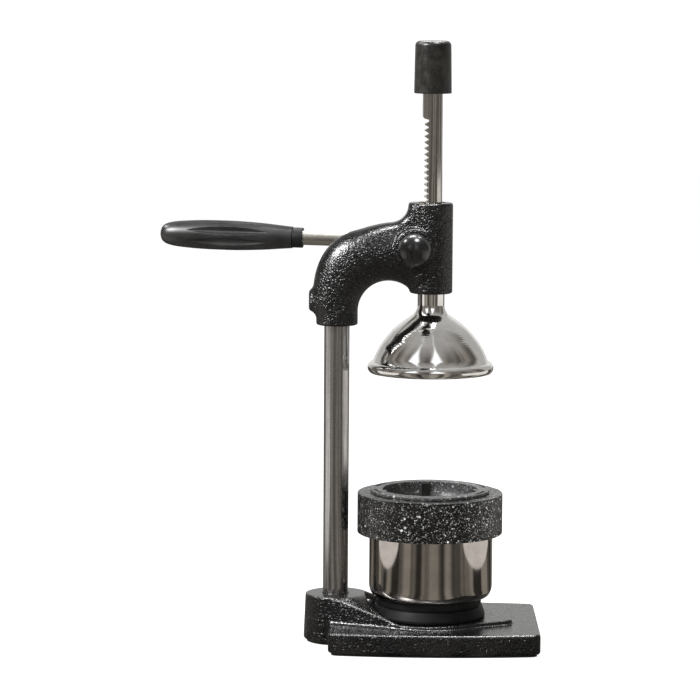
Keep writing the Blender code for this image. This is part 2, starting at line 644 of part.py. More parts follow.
def strainer_plate():
    """Perforated stainless plate with a low reamer cone."""
    low = STRAINER_Z - 1.0
    plate = turned("strainer_plate", [
        (0, REAMER_TOP), (2.5, REAMER_TOP - 0.8), (REAMER_R, STRAINER_Z + 1), (REAMER_R + 1, STRAINER_Z),
        (41.5, STRAINER_Z), (41.5, low), (REAMER_R + 0.4, low), (REAMER_R - 1, low + 1), (0, REAMER_TOP - 1.2)],
        STAINLESS, (STRAINER_X, 0, 0), sides=24)
    holes = 16
    for i in range(holes):
        a = 2 * math.pi * (i + 0.3) / holes
        place = (STRAINER_X + 33 * math.cos(a), 33 * math.sin(a), 0)
        cut(plate, cylinder(f"cut_strain_{i}", 1.8, 90, 110, place=place, sides=8))
    return plate


def main():
    clear_scene()
    base_casting()
    base_sheet()
    column()
    base_clamp_screw()
    head_casting()
    head_clamp_screw()
    bushes()
    press_rod()
    pinion_shaft()
    rod_cap()
    bell()
    lever()
    shaft_ends()
    cup_seat()
    cup()
    strainer_ring()
    strainer_insert()
    strainer_plate()


main()
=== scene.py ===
"""Looks of the hand citrus press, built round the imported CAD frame.

Lengths are millimetres in the constants and metres in the scene, in the CAD's own frame: the
origin is under the press axis, +Z is up, -X is towards the column, -Y towards the ball knob.
"""

import json
from math import acos, asin, cos, degrees, pi, radians, sin, tan

import bmesh
import bpy
import numpy as np
import openvdb
from mathutils import Matrix, Vector

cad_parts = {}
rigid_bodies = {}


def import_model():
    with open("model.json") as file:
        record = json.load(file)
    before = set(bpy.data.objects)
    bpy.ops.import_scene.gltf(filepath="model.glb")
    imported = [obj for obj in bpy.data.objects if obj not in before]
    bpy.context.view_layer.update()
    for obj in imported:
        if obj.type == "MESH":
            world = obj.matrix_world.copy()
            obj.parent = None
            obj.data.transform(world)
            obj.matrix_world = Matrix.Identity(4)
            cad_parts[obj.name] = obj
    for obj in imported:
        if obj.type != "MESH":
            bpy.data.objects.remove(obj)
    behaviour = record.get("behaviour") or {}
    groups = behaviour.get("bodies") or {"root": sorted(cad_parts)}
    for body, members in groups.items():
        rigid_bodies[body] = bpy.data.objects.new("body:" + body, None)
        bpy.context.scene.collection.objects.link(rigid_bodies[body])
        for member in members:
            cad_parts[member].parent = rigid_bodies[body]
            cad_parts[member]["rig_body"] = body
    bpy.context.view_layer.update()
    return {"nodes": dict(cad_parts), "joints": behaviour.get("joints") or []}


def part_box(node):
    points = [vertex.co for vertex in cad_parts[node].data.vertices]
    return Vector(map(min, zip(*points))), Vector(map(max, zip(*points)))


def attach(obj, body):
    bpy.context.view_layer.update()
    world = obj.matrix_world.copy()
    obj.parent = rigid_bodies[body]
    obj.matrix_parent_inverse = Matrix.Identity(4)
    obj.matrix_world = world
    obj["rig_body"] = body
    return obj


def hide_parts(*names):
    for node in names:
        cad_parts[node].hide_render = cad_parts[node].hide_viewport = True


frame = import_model()

MM = 0.001
SMOOTH_SIDES = 128
TAU = 2 * pi


def node_mm(node):
    """The lowest and highest corners of a CAD node, in mm."""
    low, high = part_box(node)
    return np.array(low) / MM, np.array(high) / MM


def round_node(node):
    """The radius, foot and top of an upright round node."""
    low, high = node_mm(node)
    return (high[0] - low[0]) / 2, low[2], high[2]


# ---- sizes in mm, from the frame where it gives them

COLUMN_LOW, COLUMN_HIGH = node_mm("column")
COLUMN_X = (COLUMN_LOW[0] + COLUMN_HIGH[0]) / 2
COLUMN_R = (COLUMN_HIGH[0] - COLUMN_LOW[0]) / 2
BASE_LOW, BASE_HIGH = node_mm("base_casting")
HEAD_LOW, HEAD_HIGH = node_mm("head_casting")
JOINTS = {joint["name"]: joint for joint in frame["joints"]}
PINION_X, _, PINION_Z = (x / MM for x in JOINTS["lever_turn"]["pos_m"])
STRAINER_X = JOINTS["strainer_turn"]["pos_m"][0] / MM

PLATE_TOP, PLATE_HALF_END, PLATE_HALF_MID, PLATE_CORNER = 18.0, 64.5, 70.5, 5.0
PLATE_LEFT, PLATE_RIGHT = -79.2, float(BASE_HIGH[0])
PAD_R, PAD_TOP, RECESS_R = 52.5, 21.2, 50.8
TONGUE_END, TONGUE_HALF = 66.0, 25.0
BOSS_R, BOSS_FOOT_R, BOSS_TOP = 23.8, 25.2, float(BASE_HIGH[2])
ARCH_X, ARCH_Z, ARCH_R = -33.6, 264.1, 24.1
ARM_HALF_WIDTH = 16.4
COLLAR_DEPTH, COLLAR_DEGREES, ARM_EASING = 32.8, 1.4, 17
# The arm's (degrees round the arch, depth). Below the arch the collar takes COLLAR_DEGREES a mm.
ARM_STATIONS = (
    (180, 32.8), (165, 37.2), (150, 41.7), (135, 45.4), (120, 46.4),
    (105, 43.4), (90, 43.2), (75, 43.4), (60, 40.0), (45, 33.0),
)
HOUSING_R, HOUSING_LOW, HOUSING_TOP = 16.7, 278.6, float(HEAD_HIGH[2])
HEAD_SCREW_Z = 272.2
ROD_R = 8.0
MODULE = 1.5
PITCH_X = -4.8
PRESSURE_ANGLE, BACKLASH = radians(30), 0.15
CLEARANCE = 0.3
SCREW_R, SHAFT_R = 3.0, 5.0
ROD_BUSH_R, SHAFT_BUSH_R, PINION_BORE_R, LEVER_BORE_R = 10.3, 8.3, 11.0, 6.1
BOLT_HOLE_R, BOLT_HEAD_R, SEAT_HOLE_R, BELL_BOLT_BORE_R = 4.3, 9.0, 2.8, 3.3
BASE_SCREW_Z = 30
LEVER_PIVOT = Vector((PINION_X, 51.0, PINION_Z))
LEVER_OUTWARD, LEVER_RISE = radians(7.0), radians(0.95)
LEVER_ALONG = Vector((
    -cos(LEVER_OUTWARD) * cos(LEVER_RISE),
    sin(LEVER_OUTWARD) * cos(LEVER_RISE),
    sin(LEVER_RISE),
))
UP, ACROSS, REARWARD = Vector((0, 0, 1)), Vector((1, 0, 0)), Vector((0, 1, 0))


# ---- materials

class Nodes:
    """Short ways to add nodes to a node tree."""

    def __init__(self, tree):
        self.tree = tree

    def node(self, kind, inputs=(), **settings):
        """A new node. inputs gives values for its sockets, by name or number."""
        made = self.tree.nodes.new("ShaderNode" + kind)
        for name, value in settings.items():
            setattr(made, name, value)
        for socket, value in dict(inputs).items():
            self.fill(made.inputs[socket], value)
        return made

    def fill(self, socket, value):
        """Sets a socket to a number, a vector or an RGB triple, or links it."""
        if isinstance(value, bpy.types.NodeSocket):
            self.tree.links.new(value, socket)
        else:
            socket.default_value = (*value, 1) if socket.type == "RGBA" else value

    def math(self, operation, *values):
        return self.node("Math", enumerate(values), operation=operation).outputs["Value"]

    def remap(self, value, low, high, to_low=0, to_high=1):
        made = self.node("MapRange", enumerate((value, low, high, to_low, to_high)),
                         interpolation_type="SMOOTHSTEP")
        return made.outputs["Result"]

    def mix(self, factor, first, second):
        """A colour between two, each an RGB triple or a socket."""
        made = self.node("Mix", {"Factor": factor, 6: first, 7: second}, data_type="RGBA")
        return made.outputs[2]

    def squares(self, first, second):
        """The sum of two squares."""
        square = self.math("MULTIPLY", second, second)
        return self.math("ADD", self.math("MULTIPLY", first, first), square)

    def parts(self, vector):
        made = self.node("SeparateXYZ", {"Vector": vector})
        return made.outputs["X"], made.outputs["Y"], made.outputs["Z"]


class Look(Nodes):
    """A material under construction, with object coordinates to hang its detail on."""

    def __init__(self, name, **sockets):
        self.material = bpy.data.materials.new(name)
        self.material.use_nodes = True
        super().__init__(self.material.node_tree)
        self.shader = self.tree.nodes["Principled BSDF"]
        for socket, value in sockets.items():
            self.fill(self.shader.inputs[socket.replace("_", " ")], value)
        self.coordinates = self.node("TexCoord").outputs["Object"]

    def stretched(self, scale):
        """Object coordinates scaled along each axis, for streaks and rings."""
        return self.node("Mapping", {"Scale": scale, "Vector": self.coordinates}).outputs["Vector"]

    def noise(self, size_mm, detail=2.0, roughness=0.5, vector=None, distortion=0.0):
        """Noise whose features are about size_mm across."""
        made = self.node("TexNoise", {
            "Scale": 1 / (size_mm * MM), "Detail": detail, "Roughness": roughness,
            "Distortion": distortion, "Vector": vector or self.coordinates})
        return made.outputs["Fac"]

    def bump(self, height, depth_mm, strength=1.0):
        made = self.node("Bump", {
            "Distance": depth_mm * MM, "Strength": strength, "Height": height})
        self.fill(self.shader.inputs["Normal"], made.outputs["Normal"])

    def colour(self, source):
        self.fill(self.shader.inputs["Base Color"], source)

    def tint(self, value, low, high, first, second):
        """Goes from the first colour to the second as the value goes from low to high."""
        self.colour(self.mix(self.remap(value, low, high), first, second))

    def gloss(self, value, low, high, first, second):
        """The same for roughness."""
        source = self.remap(value, low, high, first, second)
        self.fill(self.shader.inputs["Roughness"], source)


def shade(colour, factor):
    return tuple(c * factor for c in colour)


def hammered_paint(name):
    """Black hammertone: worm-like ridges over a millimetre across, flatter on level faces."""
    look = Look(name, IOR=1.52)
    worms = look.math("SUBTRACT", look.noise(2.1, 1.0, 0.4, distortion=0.4), 0.5)
    crest = look.math("SQRT", look.math("MULTIPLY_ADD", worms, worms, 0.0012))
    fine = look.noise(1.3, 1.0, 0.5)
    height = look.math("MULTIPLY_ADD", crest, -1.0, look.math("MULTIPLY", fine, 0.2))
    upward = look.parts(look.node("NewGeometry").outputs["Normal"])[2]
    rounding = look.remap(upward, 0.03, 0.45, 0.9, 0.27)
    settled = look.remap(upward, 0.80, 0.99, 1.0, 0.5)
    look.bump(height, 1.75, look.math("MULTIPLY", rounding, settled))
    look.tint(fine, 0.35, 0.7, (0.0008, 0.0008, 0.0009), (0.003, 0.003, 0.0031))
    look.gloss(crest, 0.03, 0.15, 0.17, 0.33)
    return look.material


def drawn_steel(name, colour, roughness, contrast):
    """Bright drawn bar: streaks along its length, with small stains and scratches."""
    look = Look(name, Metallic=1.0)
    streaks = look.noise(0.55, 3.0, 0.7, look.stretched((1, 1, 0.012)))
    broad = look.noise(2.4, 2.0, 0.5, look.stretched((1, 1, 0.03)))
    stains = look.noise(9.0, 4.0, 0.65)
    tone = look.math("MULTIPLY_ADD", broad, 0.6, streaks)
    tone = look.math("MULTIPLY_ADD", stains, 0.35, tone)
    look.tint(tone, 0.7, 1.25, shade(colour, 1 - contrast), colour)
    look.gloss(tone, 0.65, 1.3, roughness * 1.35, roughness * 0.7)
    look.bump(streaks, 0.012, 0.5)
    return look.material


def lever_steel(name, colour, roughness, contrast):
    """The same kind of bar with its streaks along the lever."""
    look = Look(name, Metallic=1.0)
    along = look.node("Mapping", {
        "Rotation": LEVER_ALONG.to_track_quat("X", "Z").to_euler(), "Scale": (60, 1, 1),
        "Vector": look.coordinates}, vector_type="TEXTURE")
    streaks = look.noise(0.7, 3.0, 0.7, along.outputs["Vector"])
    stains = look.noise(6.0, 3.0, 0.6)
    tone = look.math("MULTIPLY_ADD", stains, 0.5, streaks)
    look.tint(tone, 0.55, 1.0, shade(colour, 1 - contrast), colour)
    look.gloss(tone, 0.5, 1.0, roughness * 1.3, roughness * 0.75)
    look.bump(streaks, 0.004, 0.5)
    return look.material


def turned_metal(name, colour, roughness, anisotropy, groove_mm, groove_depth, rings=None):
    """Metal finished on a lathe: fine grooves round the axis smear reflections up and down.

    rings is the (low, high, pitch, height) of a band of coarser tool marks, the first three in mm.
    """
    look = Look(name, Metallic=1.0, Anisotropic=anisotropy, Anisotropic_Rotation=0.25)
    tangent = look.node("Tangent", direction_type="RADIAL", axis="Z")
    look.fill(look.shader.inputs["Tangent"], tangent.outputs["Tangent"])
    height = look.noise(groove_mm, 2.0, 0.6, look.stretched((0.01, 0.01, 1)))
    cloud = look.noise(14.0, 3.0, 0.6)
    scratches = look.noise(0.8, 4.0, 0.7, look.stretched((0.25, 0.25, 2.0)))
    if rings:
        low, high, pitch, strongest = rings
        up = look.parts(look.coordinates)[2]
        waves = look.math("SINE", look.math("MULTIPLY", up, TAU / (pitch * MM)))
        begun = look.remap(up, (low - 3) * MM, (low + 3) * MM, 0.0, strongest)
        left = look.remap(up, (high - 1) * MM, (high + 1) * MM, 1.0, 0.0)
        height = look.math("MULTIPLY_ADD", waves, look.math("MULTIPLY", begun, left), height)
    look.bump(height, groove_depth, 0.6)
    look.tint(cloud, 0.35, 0.65, shade(colour, 0.86), colour)
    look.gloss(scratches, 0.3, 0.75, roughness * 0.8, roughness * 1.5)
    return look.material


def clouded_metal(name, dark, light, cloud, grain_mm, grain_scale, smoothest, roughest):
    """Plated or turned metal: a cloudy tone and a fine grain. cloud is its noise's settings."""
    look = Look(name, Metallic=1.0)
    cloud = look.noise(*cloud)
    look.colour(look.mix(cloud, dark, light))
    look.gloss(cloud, 0.3, 0.7, smoothest, roughest)
    look.bump(look.noise(grain_mm, 2.0, 0.5, look.stretched(grain_scale)), 0.02, 0.4)
    return look.material


def moulded(name, dark, pale, smoothest, roughest, ior, grain_mm=0.5, depth=0.02,
            flow=(11.0, 4.0, 0.6), stretch=(0.4, 1, 1), swell=0.0):
    """Black rubber or plastic: faint flow marks, which may stand proud, and a fine grain."""
    look = Look(name, IOR=ior)
    flow = look.noise(*flow, look.stretched(stretch))
    grain = look.noise(grain_mm, 2.0, 0.6)
    look.tint(flow, 0.35, 0.7, dark, pale)
    look.gloss(flow, 0.3, 0.7, smoothest, roughest)
    look.bump(look.math("MULTIPLY_ADD", flow, swell, grain), depth, 0.5)
    return look.material


# Sizes of fleck: the spacing in mm, the largest radius in spacings, and how rare large ones are.
FLECKS = ((2.8, 0.44, 6.0), (1.7, 0.42, 5.0), (1.1, 0.42, 3.2), (0.75, 0.40, 2.2))
# Height in mm above which the funnel's ribs get their painted shade.
RIB_SHADE_FROM = 110.3


def speckled_plastic(name, ground, flecks, smoothest, roughest, rib_shade_within=None):
    """Charcoal plastic thick with pale flecks, from dust up to about a millimetre.

    The last argument is the radius in mm inside which the funnel's ribs are coloured near-black:
    painted shade standing in for the shade on their faces.
    """
    look = Look(name, IOR=1.42)
    total = None
    for spacing, largest, rarity in FLECKS:
        cells = look.node("TexVoronoi", {
            "Scale": 1 / (spacing * MM), "Vector": look.coordinates}, feature="F1").outputs
        pick = look.node("SeparateColor", {"Color": cells["Color"]}).outputs
        radius = look.math("MULTIPLY", look.math("POWER", pick["Red"], rarity), largest)
        inside = look.math("LESS_THAN", cells["Distance"], radius)
        paleness = look.math("POWER", pick["Green"], 1.5)
        paleness = look.math("MULTIPLY_ADD", paleness, 0.85, 0.15)
        fleck = look.math("MULTIPLY", inside, paleness)
        total = fleck if total is None else look.math("MAXIMUM", total, fleck)
    cloud = look.noise(6.0, 3.0)
    ground = look.mix(cloud, shade((0.5, 0.51, 0.53), ground), (ground, ground, ground))
    colour = look.mix(look.math("MULTIPLY", total, flecks), ground, (0.95, 0.94, 0.90))
    # Painted shade: above that height and inside the given radius, the ribs are coloured
    # near-black to stand in for the shade on them.
    if rib_shade_within:
        x, y, z = look.parts(look.coordinates)
        reach = look.math("SQRT", look.squares(look.math("SUBTRACT", x, STRAINER_X * MM), y))
        near = look.remap(reach, rib_shade_within * MM, (rib_shade_within + 0.3) * MM, 1, 0)
        high = look.remap(z, RIB_SHADE_FROM * MM, (RIB_SHADE_FROM + 0.5) * MM)
        colour = look.mix(look.math("MULTIPLY", near, high), colour, (0.004, 0.004, 0.004))
    look.colour(colour)
    look.gloss(cloud, 0.3, 0.7, smoothest, roughest)
    look.bump(look.noise(0.6, 2.0), 0.03, 0.5)
    return look.material


LOOKS = {name: make(name, *settings) for name, make, *settings in (
    ("hammered_paint", hammered_paint),
    ("satin_steel", drawn_steel, (0.58, 0.57, 0.56), 0.22, 0.4),
    ("lever_steel", lever_steel, (0.76, 0.74, 0.68), 0.33, 0.3),
    ("polished_steel", drawn_steel, (0.68, 0.67, 0.63), 0.10, 0.4),
    ("polished_aluminium", turned_metal, (0.86, 0.85, 0.83), 0.09, 0.4, 0.5, 0.003,
     (238, 251, 1.5, 7.0)),
    ("stainless", turned_metal, (0.54, 0.51, 0.48), 0.045, 0.3, 0.4, 0.0015),
    ("zinc_steel", clouded_metal, (0.40, 0.41, 0.43), (0.66, 0.66, 0.66), (2.5, 4.0, 0.6), 0.4,
     (1, 1, 1), 0.22, 0.42),
    ("bronze", clouded_metal, (0.30, 0.18, 0.08), (0.55, 0.37, 0.17), (3.0, 3.0), 0.3,
     (0.2, 0.2, 1.5), 0.28, 0.45),
    ("black_rubber", moulded, (0.005, 0.005, 0.004), (0.014, 0.013, 0.011), 0.27, 0.40, 1.42,
     0.35, 0.05, (7.0, 5.0, 0.65), (1, 1, 1), 0.6),
    ("seat_plastic", moulded, (0.003, 0.003, 0.0032), (0.0071, 0.0071, 0.00744), 0.46, 0.58,
     1.27),
    ("grip_plastic", moulded, (0.006,) * 3, (0.0122,) * 3, 0.31, 0.39, 1.5, 1.5, 0.006),
    ("knob_plastic", moulded, (0.005,) * 3, (0.0105,) * 3, 0.23, 0.29, 1.5, 2.0, 0.004),
    ("speckled_plastic", speckled_plastic, 0.003, 0.68, 0.3, 0.44),
    # 34.9 mm is the radius inside which this funnel's ribs get painted shade.
    # The funnel's ground is fifteen times paler than the ring's: painted light standing in for the
    # sheen its bowl wall reflects.
    ("bowl_plastic", speckled_plastic, 0.045, 0.42, 0.38, 0.52, 34.9),
)}


# ---- making pieces

def linked(name, data):
    """A new object in the scene."""
    made = bpy.data.objects.new(name, data)
    bpy.context.scene.collection.objects.link(made)
    return made


def applied(made):
    """The object's mesh with its modifiers applied. The object is removed."""
    bpy.context.view_layer.update()
    graph = bpy.context.evaluated_depsgraph_get()
    done = bpy.data.meshes.new_from_object(made.evaluated_get(graph))
    bpy.data.objects.remove(made)
    return done


def piece(name, mesh, nodes, slot, look=None, sharp=32):
    """Makes a finished mesh the piece that stands for these CAD nodes, on their body."""
    mesh.name = name
    mesh.materials.clear()
    mesh.materials.append(LOOKS[look or slot])
    mesh.polygons.foreach_set("use_smooth", [True] * len(mesh.polygons))
    mesh.set_sharp_from_angle(angle=radians(sharp))
    made = linked(name, mesh)
    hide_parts(*nodes)
    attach(made, frame["nodes"][nodes[0]]["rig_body"])


def mesh_from(points, faces):
    """A mesh from points in mm, facing outwards."""
    mesh = bpy.data.meshes.new("part")
    mesh.from_pydata([tuple(p) for p in np.asarray(points) * MM], [], [tuple(f) for f in faces])
    shape = bmesh.new()
    shape.from_mesh(mesh)
    bmesh.ops.remove_doubles(shape, verts=shape.verts, dist=1e-7)
    bmesh.ops.recalc_face_normals(shape, faces=shape.faces)
    shape.to_mesh(mesh)
    shape.free()
    return mesh


def frame_along(direction):
    """Two unit vectors square to direction, the first nearest to the front of the press."""
    direction = Vector(direction).normalized()
    toward = Vector((0, -1, 0)) if abs(direction.y) < 0.9 else Vector((1, 0, 0))
    first = (toward - direction * toward.dot(direction)).normalized()
    return first, direction.cross(first)


def rounded(corners, steps=6):
    """A profile in which each corner (radius, height, fillet) is turned into an arc."""
    points = []
    count = len(corners)
    for i, corner in enumerate(corners):
        here = Vector(corner[:2])
        fillet = corner[2] if len(corner) > 2 else 0.0
        if not fillet or i in (0, count - 1):
            points.append(tuple(here))
            continue
        before, after = Vector(corners[i - 1][:2]) - here, Vector(corners[i + 1][:2]) - here
        half = before.angle(after) / 2
        reach = min(fillet / tan(half), 0.49 * before.length, 0.49 * after.length)
        radius = reach * tan(half)
        start, end = here + before.normalized() * reach, here + after.normalized() * reach
        bisector = (before.normalized() + after.normalized()).normalized()
        centre = here + bisector * (radius / sin(half))
        first, last = start - centre, end - centre
        sweep = first.angle_signed(last)
        for k in range(steps + 1):
            turn = Matrix.Rotation(-sweep * k / steps, 2)
            points.append(tuple(centre + turn @ first))
    return points


def lathe(profile, place=(0, 0, 0), direction=UP, sides=SMOOTH_SIDES, shift=None):
    """A profile of (radius, height) points turned about an axis through place.

    shift(angle, radius, height) may move a point in or out. A profile that starts on the axis
    is closed by its ends, and any other is closed into a ring.
    """
    first, second = frame_along(direction)
    place, direction = Vector(place), Vector(direction)
    points, faces, rows = [], [], []
    for radius, height in profile:
        if radius < 1e-6:
            rows.append([len(points)] * sides)
            points.append(place + direction * height)
            continue
        rows.append(list(range(len(points), len(points) + sides)))
        for k in range(sides):
            angle = TAU * k / sides
            r = radius + (shift(angle, radius, height) if shift else 0)
            spoke = first * cos(angle) + second * sin(angle)
            points.append(place + direction * height + spoke * r)
    pairs = list(zip(rows, rows[1:]))
    if profile[0][0] > 1e-6:
        pairs.append((rows[-1], rows[0]))
    for near, far in pairs:
        for k in range(sides):
            n = (k + 1) % sides
            corners = list(dict.fromkeys((near[k], near[n], far[n], far[k])))
            if len(corners) > 2:
                faces.append(corners)
    return mesh_from(points, faces)


def turned(name, profile, nodes, slot, place=(0, 0, 0), direction=UP, sides=SMOOTH_SIDES,
           shift=None, **more):
    piece(name, lathe(profile, place, direction, sides, shift), nodes, slot, **more)


def plug(radius, low, high, place=(0, 0, 0), direction=UP, sides=SMOOTH_SIDES):
    """A plain rod, to cut a hole with or to add."""
    profile = [(0, high), (radius, high), (radius, low), (0, low)]
    return lathe(profile, place, direction, sides)


def extruded(near, far):
    """The solid between two loops of as many points."""
    count = len(near)
    faces = [(i, (i + 1) % count, count + (i + 1) % count, count + i) for i in range(count)]
    faces += [tuple(range(count)), tuple(range(count, 2 * count))]
    return mesh_from([*near, *far], faces)


def prism_mesh(outline, low, high, axis="Z"):
    """An outline made solid from low to high: along Z, or along Y for an XZ outline."""
    if axis == "Z":
        return extruded(*([(x, y, z) for x, y in outline] for z in (low, high)))
    return extruded(*([(x, y, z) for x, z in outline] for y in (low, high)))


def boolean(mesh, operation, *others):
    """The mesh after one operation with each of the others in turn."""
    target = linked("target", mesh)
    helpers = [linked("helper", other) for other in others]
    for helper in helpers:
        change = target.modifiers.new("change", "BOOLEAN")
        change.operation = operation
        change.object = helper
    done = applied(target)
    for helper in helpers:
        bpy.data.objects.remove(helper)
    return done


def arc(centre, radius, start, end, steps):
    """Points from start to end, in degrees, round a centre.

    radius is one number or an (across, up) pair.
    """
    across, up = radius if isinstance(radius, tuple) else (radius, radius)
    angles = [radians(start + (end - start) * i / steps) for i in range(steps + 1)]
    return [(centre[0] + across * cos(a), centre[1] + up * sin(a)) for a in angles]


def spline(points, steps=8):
    """A Catmull-Rom curve through the points."""
    ends = [Vector(points[0]) * 2 - Vector(points[1])]
    ends += [Vector(p) for p in points] + [Vector(points[-1]) * 2 - Vector(points[-2])]
    path = []
    for a, b, c, d in zip(ends, ends[1:], ends[2:], ends[3:]):
        for k in range(steps):
            t = k / steps
            path.append(tuple(0.5 * (2 * b + (c - a) * t + (2 * a - 5 * b + 4 * c - d) * t ** 2
                                     + (3 * b - a - 3 * c + d) * t ** 3)))
    path.append(tuple(points[-1]))
    return path


# ---- castings as distance fields, in mm

def lattice(low, high, step):
    axes = [np.arange(a, b + step, step, dtype=np.float32) for a, b in zip(low, high)]
    return np.meshgrid(*axes, indexing="ij", sparse=True)


def fuse(a, b, fillet):
    """The union of two distances, with a fillet between them."""
    h = np.clip(0.5 + 0.5 * (b - a) / fillet, 0, 1)
    return b + (a - b) * h - fillet * h * (1 - h)


def trim(a, b, fillet):
    """The part of a outside b, with an eased edge."""
    return -fuse(-a, b, fillet)


def corner(a, b, edge):
    """Where both distances are inside, with the edge between them rounded."""
    a, b = a + edge, b + edge
    return np.minimum(np.maximum(a, b), 0) + np.hypot(np.maximum(a, 0), np.maximum(b, 0)) - edge


def between(value, low, high):
    return np.abs(value - (low + high) / 2) - (high - low) / 2


def rod_field(u, v, w, radius, low, high, edge=0.1):
    """A rod along w, about the origin of u and v."""
    return corner(np.hypot(u, v) - radius, between(w, low, high), edge)


def outline_field(x, y, outline):
    """Signed distance in the plane to a closed outline."""
    nearest, inside = None, None
    for (ax, ay), (bx, by) in zip(outline, outline[1:] + outline[:1]):
        ex, ey = bx - ax, by - ay
        px, py = x - ax, y - ay
        t = np.clip((px * ex + py * ey) / (ex * ex + ey * ey + 1e-12), 0, 1)
        d = np.hypot(px - ex * t, py - ey * t)
        crosses = ((ay > y) != (by > y)) & (px < ex * py / (ey if abs(ey) > 1e-12 else 1e-12))
        nearest = d if nearest is None else np.minimum(nearest, d)
        inside = crosses if inside is None else inside ^ crosses
    return np.where(inside, -nearest, nearest)


def hull_field(x, y, z, points):
    """Distance to the convex hull of the points, exact on its faces."""
    shape = bmesh.new()
    for p in points:
        shape.verts.new(p)
    bmesh.ops.convex_hull(shape, input=shape.verts)
    centre = sum((v.co for v in shape.verts), Vector()) / len(shape.verts)
    planes = set()
    for face in shape.faces:
        outward = face.normal.dot(face.calc_center_median() - centre) > 0
        normal = face.normal if outward else -face.normal
        planes.add((*(round(n, 4) for n in normal), round(normal.dot(face.verts[0].co), 2)))
    shape.free()
    distance = None
    for nx, ny, nz, offset in sorted(planes):
        d = nx * x + ny * y + nz * z - offset
        distance = d if distance is None else np.maximum(distance, d)
    return distance


def skin_mesh(distance, low, step):
    """The surface where the distance is nought."""
    band = 3 * step
    grid = openvdb.FloatGrid(band)
    grid.copyFromArray(np.clip(distance, -band, band).astype(np.float32))
    points, quads = grid.convertToQuads()
    return mesh_from(points * step + np.array(low), quads)


def smoothed_table(stations, width):
    """A table of (position, value) as evenly spaced positions and values, its corners eased."""
    first, last = stations[0][0], stations[-1][0]
    at = np.arange(first - width, last + width + 1)
    value = np.interp(at, *zip(*stations))
    kernel = np.ones(width) / width
    return at[width // 2: -(width // 2)], np.convolve(value, kernel, "valid")


def arm_field(x, y, z):
    """The collar and the arm: oval sections on rays from the arch's centre, round below it."""
    dx, dz = x - ARCH_X, z - ARCH_Z
    reach = np.hypot(dx, dz)
    angle = np.degrees(np.arctan2(dz, dx))
    below = (dz < 0) & (dx < 0)
    along = np.where(below, 180 - dz * COLLAR_DEGREES, angle)
    out = np.where(below, -dx, reach)
    stations = ((20, 33.0),) + tuple(reversed(ARM_STATIONS)) + ((260, COLLAR_DEPTH),)
    depth = np.interp(along, *smoothed_table(stations, ARM_EASING)).astype(np.float32)
    u = (out - ARCH_R - depth / 2) / (depth / 2)
    v = y / ARM_HALF_WIDTH
    k0 = np.hypot(u, v)
    k1 = np.hypot(u / (depth / 2), v / ARM_HALF_WIDTH)
    oval = (k0 - 1) * k0 / np.maximum(k1, 1e-6)
    end = np.where((angle < 90) & (angle > -90), reach * np.sin(np.radians(45 - angle)), -1e3)
    foot = HEAD_LOW[2] - z
    return np.maximum(corner(oval, foot, 1.6), end)


def head_mesh():
    """The arm, the rod's housing, the web and the pinion's boss, with their bores cut out."""
    step = 0.8
    low, high = HEAD_LOW - 3 * step, HEAD_HIGH + 3 * step
    front, rear = HEAD_LOW[1], HEAD_HIGH[1]
    x, y, z = lattice(low, high, step)
    px, pz = x - PINION_X, z - PINION_Z
    housing = rod_field(x, y, z, HOUSING_R, HOUSING_LOW, HOUSING_TOP, 1.5)
    shoulder = [(-58, 316), (-57, 323.4), (-50, 328.4), (-42, 331.6)]
    shoulder += arc((-34.6, 352.0), (18.0, 18.5), 272, 350, 24) + [(-8, 349.0), (-8, 318)]
    web = corner(outline_field(x[:, 0, :], z[0], shoulder)[:, None, :], np.abs(y) - 10.5, 6.0)
    body = fuse(fuse(arm_field(x, y, z), housing, 3.0), web, 6.0)
    chamfer = (np.hypot(px, pz) - 13.9) * 0.454 + (front - y) * 0.891
    front_boss = corner(rod_field(px, pz, y, 15.9, front, 2, 0.5), chamfer, 0.3)
    body = fuse(body, front_boss, 1.2)
    body = fuse(body, rod_field(px, pz, y, 15.5, -2, rear, 1.2), 3.0)
    start, tip, start_r, tip_r = 82, -HEAD_LOW[0], 12.4, 7.8
    taper = start_r - (start_r - tip_r) * (-x - start) / (tip - start)
    cone = corner((np.hypot(y, z - HEAD_SCREW_Z) - taper) * 0.9, between(-x, 80, tip), 1.4)
    body = np.maximum(fuse(body, cone, 5.0), z - HEAD_HIGH[2])
    for bore in (
        rod_field(x, y, z, ROD_BUSH_R, 240, 400),
        rod_field(x - COLUMN_X, y, z, COLUMN_R + CLEARANCE, 200, 300.3),
        rod_field(px, pz, y, PINION_BORE_R, -9.2, 60),
        rod_field(px, pz, y, SHAFT_BUSH_R, -60, 0),
        rod_field(y, z - HEAD_SCREW_Z, -x, SCREW_R + CLEARANCE, 80, 120),
    ):
        body = trim(body, bore, 0.8)
    return skin_mesh(body, low, step)


def plate_outline(inset=0.0):
    """The plate in plan: long sides bowed outwards, with round corners."""
    left, right = PLATE_LEFT + inset, PLATE_RIGHT - inset
    half_length = (right - left) / 2
    bow = PLATE_HALF_MID - PLATE_HALF_END
    side_r = (half_length ** 2 + bow ** 2) / (2 * bow)
    middle = ((left + right) / 2, PLATE_HALF_MID - inset - side_r)
    reach = degrees(asin((half_length - PLATE_CORNER) / side_r))
    end_y = PLATE_HALF_END - inset - PLATE_CORNER + 0.5
    upper = arc((right - PLATE_CORNER, end_y), PLATE_CORNER, 0, 84, 10)
    upper += arc(middle, side_r, 90 - reach, 90 + reach, 40)
    upper += arc((left + PLATE_CORNER, end_y), PLATE_CORNER, 96, 180, 10)
    return upper + [(x, -y) for x, y in reversed(upper)]


